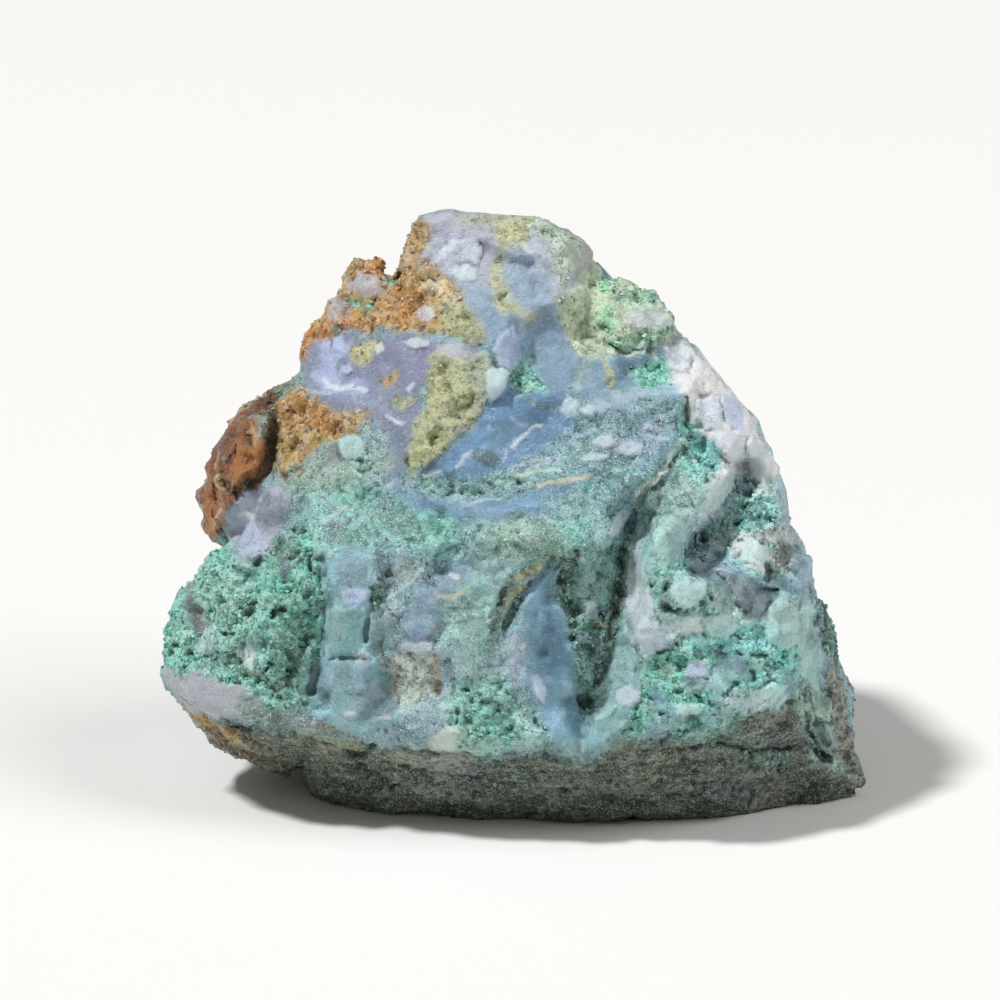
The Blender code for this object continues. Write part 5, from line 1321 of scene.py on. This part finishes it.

# Colour variations of the stone: the kind that they are on, the field, where it begins and
# is full, how strong it is, and the colour. The pale specks of the fine field are partly white
# crystal flecks and partly painted glints

VARIATIONS = [
    ("druse", "small_tone", 0.70, 0.76, 0.30, (0.42, 0.58, 0.60)),
    ("druse", "small_tone", 0.28, 0.22, 0.35, (0.09, 0.22, 0.19)),
    ("druse", "cloud", 0.48, 0.30, 0.50, (0.12, 0.26, 0.25)),
    ("druse", "cloud", 0.54, 0.70, 0.40, (0.36, 0.52, 0.54)),
    ("druse", "flake", 0.26, 0.20, 0.30, (0.08, 0.20, 0.17)),
    ("druse", "flake", 0.76, 0.82, 0.30, (0.52, 0.68, 0.70)),
    ("druse", "drift", 0.54, 0.68, 0.45, (0.34, 0.42, 0.55)),
    ("druse", "drift", 0.46, 0.32, 0.45, (0.16, 0.42, 0.30)),
    ("druse", "grain", 0.44, 0.34, 0.75, (0.04, 0.11, 0.10)),
    ("druse", "fine", 0.44, 0.36, 0.45, (0.07, 0.18, 0.16)),
    ("druse", "fine", 0.57, 0.63, 0.78, (0.90, 0.97, 1.0)),
    ("chalcedony", "cloud", 0.54, 0.74, 0.35, (0.45, 0.58, 0.76)),
    ("chalcedony", "cloud", 0.46, 0.28, 0.40, (0.14, 0.22, 0.32)),
    ("chalcedony", "vein", 0.5, 1.0, 0.50, VEIN_AND_GLINT_WHITE),
    ("chalcedony", "scratch", 0.62, 0.70, 0.45, VEIN_AND_GLINT_WHITE),
    ("chalcedony", "fine", 0.66, 0.72, 0.40, VEIN_AND_GLINT_WHITE),
    ("glass", "big_tone", 0.60, 0.70, 0.30, (0.42, 0.56, 0.60)),
    ("glass", "big_tone", 0.36, 0.28, 0.30, (0.12, 0.23, 0.27)),
    ("glass", "small_tone", 0.72, 0.78, 0.25, (0.50, 0.64, 0.66)),
    ("glass", "small_tone", 0.26, 0.20, 0.25, (0.10, 0.20, 0.22)),
    ("glass", "cloud", 0.46, 0.28, 0.40, (0.12, 0.24, 0.26)),
    ("glass", "drift", 0.54, 0.68, 0.30, (0.36, 0.44, 0.62)),
    ("glass", "drift", 0.46, 0.32, 0.30, (0.20, 0.44, 0.36)),
    ("glass", "fine", 0.42, 0.34, 0.35, (0.07, 0.17, 0.20)),
    ("glass", "grain", 0.58, 0.70, 0.30, (0.56, 0.70, 0.72)),
    ("glass", "fine", 0.59, 0.66, 0.36, (0.84, 0.92, 0.96)),
    ("moss", "small_tone", 0.72, 0.78, 0.35, (0.46, 0.66, 0.64)),
    ("moss", "small_tone", 0.18, 0.12, 0.40, (0.16, 0.24, 0.27)),
    ("moss", "cloud", 0.54, 0.70, 0.55, (0.52, 0.75, 0.68)),
    ("moss", "flake", 0.72, 0.78, 0.50, (0.62, 0.84, 0.78)),
    ("moss", "flake", 0.30, 0.24, 0.45, (0.07, 0.25, 0.17)),
    ("moss", "grain", 0.45, 0.34, 0.70, DARK_GREEN),
    ("moss", "fine", 0.40, 0.32, 0.30, DARK_GREEN),
    ("moss", "fine", 0.57, 0.64, 0.65, (0.78, 0.95, 0.91)),
    ("rust", "small_tone", 0.72, 0.78, 0.45, (0.42, 0.40, 0.38)),
    ("rust", "cloud", 0.54, 0.70, 0.45, (0.50, 0.24, 0.07)),
    ("rust", "flake", 0.72, 0.78, 0.35, (0.80, 0.71, 0.58)),
    ("rust", "flake", 0.28, 0.22, 0.30, (0.24, 0.11, 0.05)),
    ("rust", "grain", 0.44, 0.33, 0.45, (0.10, 0.045, 0.020)),
    ("rust", "fine", 0.62, 0.70, 0.25, (0.70, 0.70, 0.68)),
    ("rust", "fine", 0.36, 0.31, 0.30, (0.10, 0.24, 0.16)),
    ("iron", "big_tone", 0.58, 0.64, 0.45, (0.40, 0.17, 0.05)),
    ("iron", "big_tone", 0.34, 0.28, 0.45, (0.11, 0.065, 0.05)),
    ("iron", "streak", 0.55, 0.65, 0.45, (0.48, 0.21, 0.065)),
    ("iron", "cloud", 0.46, 0.32, 0.55, (0.09, 0.05, 0.04)),
    ("iron", "fine", 0.59, 0.67, 0.65, (0.66, 0.56, 0.46)),
    ("olive", "small_tone", 0.70, 0.76, 0.35, (0.48, 0.51, 0.46)),
    ("olive", "cloud", 0.50, 0.32, 0.40, (0.22, 0.25, 0.15)),
    ("olive", "flake", 0.72, 0.78, 0.30, (0.70, 0.72, 0.56)),
    ("olive", "flake", 0.28, 0.22, 0.20, (0.12, 0.14, 0.07)),
    ("olive", "grain", 0.44, 0.33, 0.35, (0.08, 0.09, 0.05)),
    ("quartz", "small_tone", 0.60, 0.70, 0.25, (0.66, 0.74, 0.88)),
    ("quartz", "small_tone", 0.24, 0.18, 0.25, (0.58, 0.70, 0.72)),
    ("quartz", "cloud", 0.46, 0.32, 0.30, (0.60, 0.70, 0.76)),
    ("quartz", "fine", 0.60, 0.68, 0.40, (0.94, 0.96, 1.0)),
    ("layered", "small_tone", 0.72, 0.78, 0.50, (0.30, 0.33, 0.30)),
    ("layered", "small_tone", 0.28, 0.22, 0.60, (0.025, 0.04, 0.038)),
    ("layered", "cloud", 0.53, 0.62, 0.75, (0.035, 0.085, 0.058)),
    ("layered", "cloud", 0.46, 0.36, 0.60, (0.18, 0.15, 0.09)),
    ("layered", "drift", 0.54, 0.66, 0.40, (0.17, 0.19, 0.14)),
    ("layered", "streak", 0.56, 0.64, 0.45, (0.40, 0.46, 0.40)),
    ("layered", "streak", 0.47, 0.36, 0.60, (0.018, 0.030, 0.024)),
    ("layered", "grain", 0.47, 0.38, 0.85, (0.010, 0.03, 0.020)),
    ("layered", "grain", 0.57, 0.64, 0.55, (0.33, 0.40, 0.34)),
    ("layered", "fine", 0.58, 0.63, 0.75, (0.66, 0.72, 0.66)),
    ("layered", "fine", 0.43, 0.35, 0.55, (0.015, 0.03, 0.02)),
]
# Painted shade: the colour goes towards black in the hollows; how dark, and where that begins and is full, in mm of how
# much lower a point lies
SHADE_IN_HOLLOWS = 0.5
HOLLOW_START = 0.02
HOLLOW_FULL = 0.13
# Roughness, strength of the broken facets too small for the mesh, and clearness
FINISH = {
    "chalcedony": (0.28, 0.15, 0.20),
    "glass": (0.24, 0.35, 0.12),
    "druse": (0.34, 0.60, 0.00),
    "moss": (0.50, 0.80, 0.00),
    "rust": (0.60, 0.80, 0.00),
    "iron": (0.36, 0.60, 0.00),
    "olive": (0.52, 0.80, 0.00),
    "quartz": (0.22, 0.25, 0.25),
    "layered": (0.40, 0.80, 0.00),
}
FLAKE_RATE = 2.2
BUMP_FACETS = 1.0 * MM
BUMP_GRAIN = 0.15 * MM
BUMP_FINE = 0.08 * MM
CLEAR_DEPTH = 0.9 * MM

# The two ends of the grains' colours and their roughness
GRAIN_COATS = {
    "moss_grains": ((0.018, 0.070, 0.048), (0.50, 0.76, 0.67), 0.62),
    "rust_grains": ((0.110, 0.042, 0.016), (0.80, 0.70, 0.54), 0.66),
    "olive_grains": ((0.090, 0.100, 0.040), (0.68, 0.70, 0.46), 0.62),
    "druse_grains": ((0.120, 0.210, 0.190), (0.80, 0.86, 0.90), 0.40),
}


def add_node(tree, kind, values=None, **settings):
    """A node with its settings, and its sockets set or linked."""
    made = tree.nodes.new(kind)
    for name, value in settings.items():
        setattr(made, name, value)
    for name, value in (values or {}).items():
        socket = made.inputs[name]
        if isinstance(value, bpy.types.NodeSocket):
            tree.links.new(value, socket)
        elif socket.type == "RGBA":
            socket.default_value = (*value, 1.0)
        else:
            socket.default_value = value
    return made


def calculate(tree, operation, *values):
    return add_node(tree, "ShaderNodeMath", dict(enumerate(values)), operation=operation).outputs[0]


def rising(tree, value, start, full, most=1.0):
    """Goes softly from 0 where the value is start to most where it is full."""
    values = {"Value": value, "From Min": start, "From Max": full, "To Max": most}
    made = add_node(tree, "ShaderNodeMapRange", values, interpolation_type="SMOOTHSTEP")
    return made.outputs["Result"]


def blended(tree, share, below, above, blend_type="MIX"):
    values = {"Factor": share, "A": below, "B": above}
    made = tree.nodes.new("ShaderNodeMix")
    made.data_type = "RGBA"
    made.blend_type = blend_type
    for index, value in ((0, share), (6, below), (7, above)):
        if isinstance(value, bpy.types.NodeSocket):
            tree.links.new(value, made.inputs[index])
        elif index:
            made.inputs[index].default_value = (*value, 1.0)
        else:
            made.inputs[index].default_value = value
    return made.outputs[2]


def kept(tree, name):
    return add_node(tree, "ShaderNodeAttribute", attribute_name=name)


def new_material(name):
    """A material, its node tree, its shader and its coordinates in mm."""
    material = bpy.data.materials.new(name)
    material.use_nodes = True
    tree = material.node_tree
    shader = tree.nodes["Principled BSDF"]
    place = add_node(tree, "ShaderNodeTexCoord").outputs["Object"]
    scale = {0: place, "Scale": 1 / MM}
    place = add_node(tree, "ShaderNodeVectorMath", scale, operation="SCALE").outputs[0]
    return material, tree, shader, place


def stretched(tree, place, stretch, turn=(0, 0, 0)):
    values = {"Vector": place, "Scale": stretch, "Rotation": turn}
    return add_node(tree, "ShaderNodeMapping", values).outputs[0]


def noise_field(tree, place, scale, detail=3.0, rough=0.6, warp=0.0):
    values = {"Vector": place, "Scale": scale, "Detail": detail, "Roughness": rough, "Distortion": warp}
    return add_node(tree, "ShaderNodeTexNoise", values).outputs[0]


def broken_facets(tree, place, rate):
    """Small tilted facets: their height in mm, and a tone for each."""
    cells = add_node(tree, "ShaderNodeTexVoronoi", {"Vector": place, "Scale": rate})
    lean = {0: cells.outputs["Color"], 1: (0.5, 0.5, 0.5)}
    lean = add_node(tree, "ShaderNodeVectorMath", lean, operation="SUBTRACT").outputs[0]
    aside = {0: place, 1: cells.outputs["Position"]}
    aside = add_node(tree, "ShaderNodeVectorMath", aside, operation="SUBTRACT").outputs[0]
    height = add_node(tree, "ShaderNodeVectorMath", {0: lean, 1: aside}, operation="DOT_PRODUCT")
    tone = add_node(tree, "ShaderNodeSeparateColor", {0: cells.outputs["Color"]}).outputs[0]
    return height.outputs["Value"], tone


def add_bump(tree, shader, heights):
    """One bump after the other, each a field and a height in metres."""
    normal = None
    for field, height in heights:
        values = {"Height": field, "Distance": height, "Strength": 1.0}
        if normal:
            values["Normal"] = normal
        normal = add_node(tree, "ShaderNodeBump", values).outputs[0]
    tree.links.new(normal, shader.inputs["Normal"])


def stone_material():
    material, tree, shader, place = new_material("moss_agate_stone")
    drift = add_node(tree, "ShaderNodeTexNoise", {"Vector": place, "Scale": 1.6, "Detail": 0.0})
    drift = {0: drift.outputs["Color"], 1: (0.7, 0.7, 0.7), 2: place}
    drifted = add_node(tree, "ShaderNodeVectorMath", drift, operation="MULTIPLY_ADD").outputs[0]
    flake_height, flake_tone = broken_facets(tree, drifted, FLAKE_RATE)
    wave = noise_field(tree, place, 1.1, 3.0, 0.65)
    vein = calculate(tree, "ABSOLUTE", calculate(tree, "SUBTRACT", wave, 0.5))
    some = rising(tree, noise_field(tree, place, 0.45, 2.0), 0.50, 0.62)
    vein = calculate(tree, "MULTIPLY", rising(tree, vein, 0.018, 0.0), some)
    fields = {
        "cloud": noise_field(tree, place, 0.9, 3.0, 0.6),
        "drift": noise_field(tree, place, 0.33, 2.0, 0.6),
        "grain": noise_field(tree, place, 2.6, 3.0, 0.65),
        "fine": noise_field(tree, place, 10.0, 2.0, 0.65),
        "vein": vein,
        "scratch": noise_field(tree, stretched(tree, place, (0.7, 2.2, 2.2), (0, 0.6, 0)), 2.2, 3.0, 0.6, 0.6),
        "streak": noise_field(tree, stretched(tree, place, (0.5, 0.5, 1.6), (0, 0.25, 0)), 1.8, 3.0, 0.65, 0.6),
        "flake": flake_tone,
        "big_tone": kept(tree, "big_tone").outputs["Fac"],
        "small_tone": kept(tree, "small_tone").outputs["Fac"],
    }
    masks = {kind: kept(tree, kind).outputs["Fac"] for kind in KINDS}
    colour = kept(tree, "paint").outputs["Color"]
    for kind, field, start, full, most, tint in VARIATIONS:
        share = calculate(tree, "MULTIPLY", masks[kind], rising(tree, fields[field], start, full, most))
        colour = blended(tree, share, colour, tint)
    # Painted shade: the colour darkened towards black in the hollows
    low = rising(tree, kept(tree, "low").outputs["Fac"], HOLLOW_START, HOLLOW_FULL, SHADE_IN_HOLLOWS)
    colour = blended(tree, low, colour, (0.0, 0.0, 0.0))
    tree.links.new(colour, shader.inputs["Base Color"])
    rough, faceted, clear = 0.0, 0.0, 0.0
    for kind in KINDS:
        rough = calculate(tree, "MULTIPLY_ADD", masks[kind], FINISH[kind][0], rough)
        faceted = calculate(tree, "MULTIPLY_ADD", masks[kind], FINISH[kind][1], faceted)
        clear = calculate(tree, "MULTIPLY_ADD", masks[kind], FINISH[kind][2], clear)
    rough = calculate(tree, "MULTIPLY_ADD", flake_tone, 0.2, calculate(tree, "SUBTRACT", rough, 0.1))
    tree.links.new(rough, shader.inputs["Roughness"])
    tree.links.new(clear, shader.inputs["Subsurface Weight"])
    shader.inputs["Subsurface Radius"].default_value = (0.7, 0.9, 1.0)
    shader.inputs["Subsurface Scale"].default_value = CLEAR_DEPTH
    height = calculate(tree, "MULTIPLY", flake_height, faceted)
    bumps = ((height, BUMP_FACETS), (fields["grain"], BUMP_GRAIN), (fields["fine"], BUMP_FINE))
    add_bump(tree, shader, bumps)
    return material


def grain_material(name):
    dark, pale, rough = GRAIN_COATS[name]
    material, tree, shader, place = new_material(name)
    shade = kept(tree, "shade").outputs["Fac"]
    colour = kept(tree, "paint").outputs["Color"]
    colour = blended(tree, rising(tree, shade, 0.40, 0.05, 0.65), colour, dark)
    colour = blended(tree, rising(tree, shade, 0.45, 0.95, 0.65), colour, pale)
    fine = noise_field(tree, place, 6.0, 3.0)
    colour = blended(tree, rising(tree, fine, 0.48, 0.30, 0.5), colour, dark)
    tree.links.new(colour, shader.inputs["Base Color"])
    varied = calculate(tree, "MULTIPLY_ADD", fine, 0.3, rough - 0.15)
    tree.links.new(varied, shader.inputs["Roughness"])
    add_bump(tree, shader, ((fine, BUMP_FINE),))
    return material


def floor_material():
    material, tree, shader, place = new_material("pale_floor")
    cloud = noise_field(tree, place, 0.02, 3.0)
    shaded = tuple(0.985 * share for share in FLOOR_COLOUR)
    tree.links.new(blended(tree, cloud, FLOOR_COLOUR, shaded), shader.inputs["Base Color"])
    fine = noise_field(tree, place, 1.2, 3.0)
    tree.links.new(calculate(tree, "MULTIPLY_ADD", fine, 0.1, 0.85), shader.inputs["Roughness"])
    add_bump(tree, shader, ((fine, 0.00001),))
    shader.inputs["Specular IOR Level"].default_value = 0.1
    return material


def add_light(name, power, size, distance, from_where):
    lamp = bpy.data.lights.new(name, "AREA")
    lamp.shape = "DISK"
    lamp.size = size
    lamp.energy = power
    light = add_piece(name, lamp)
    place = Vector(from_where).normalized()
    light.location = place * distance
    light.rotation_mode = "QUATERNION"
    light.rotation_quaternion = place.to_track_quat("Z", "Y")


def set_studio():
    """The pale floor, the light and the camera."""
    half = FLOOR_SIZE / 2
    mesh = bpy.data.meshes.new("floor")
    corners = [(-half, -half, 0), (half, -half, 0), (half, half, 0), (-half, half, 0)]
    mesh.from_pydata(corners, [], [(0, 1, 2, 3)])
    mesh.materials.append(floor_material())
    add_piece("floor", mesh)

    world = bpy.data.worlds.new("studio")
    world.use_nodes = True
    world.node_tree.nodes["Background"].inputs["Color"].default_value = (*WORLD_TINT, 1.0)
    world.node_tree.nodes["Background"].inputs["Strength"].default_value = WORLD_LIGHT
    bpy.context.scene.world = world
    add_light("key", KEY_POWER, KEY_SIZE, KEY_DISTANCE, KEY_FROM)
    add_light("fill", FILL_POWER, FILL_SIZE, FILL_DISTANCE, FILL_FROM)
    bpy.context.scene.view_settings.view_transform = "Standard"

    camera = add_piece("camera", bpy.data.cameras.new("camera"))
    camera.data.sensor_width = SENSOR
    camera.data.lens = SENSOR * CAMERA_DISTANCE / FRAME_WIDTH
    camera.data.clip_end = 10.0
    camera.location = CAMERA_TARGET + TO_VIEWER * CAMERA_DISTANCE
    camera.rotation_mode = "QUATERNION"
    camera.rotation_quaternion = TO_VIEWER.to_track_quat("Z", "Y")
    bpy.context.scene.camera = camera


def ride(piece):
    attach(piece, "root")


noise.seed_set(NOISE_SEED)
stone = make_stone()
tree = grain_tree()
grains = [make_grains(stone, tree, name, grain_material(name)) for name in GRAINS]
stone.data.materials.clear()
stone.data.materials.append(stone_material())
for piece in (stone, *grains):
    ride(piece)
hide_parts(STONE)
set_studio()
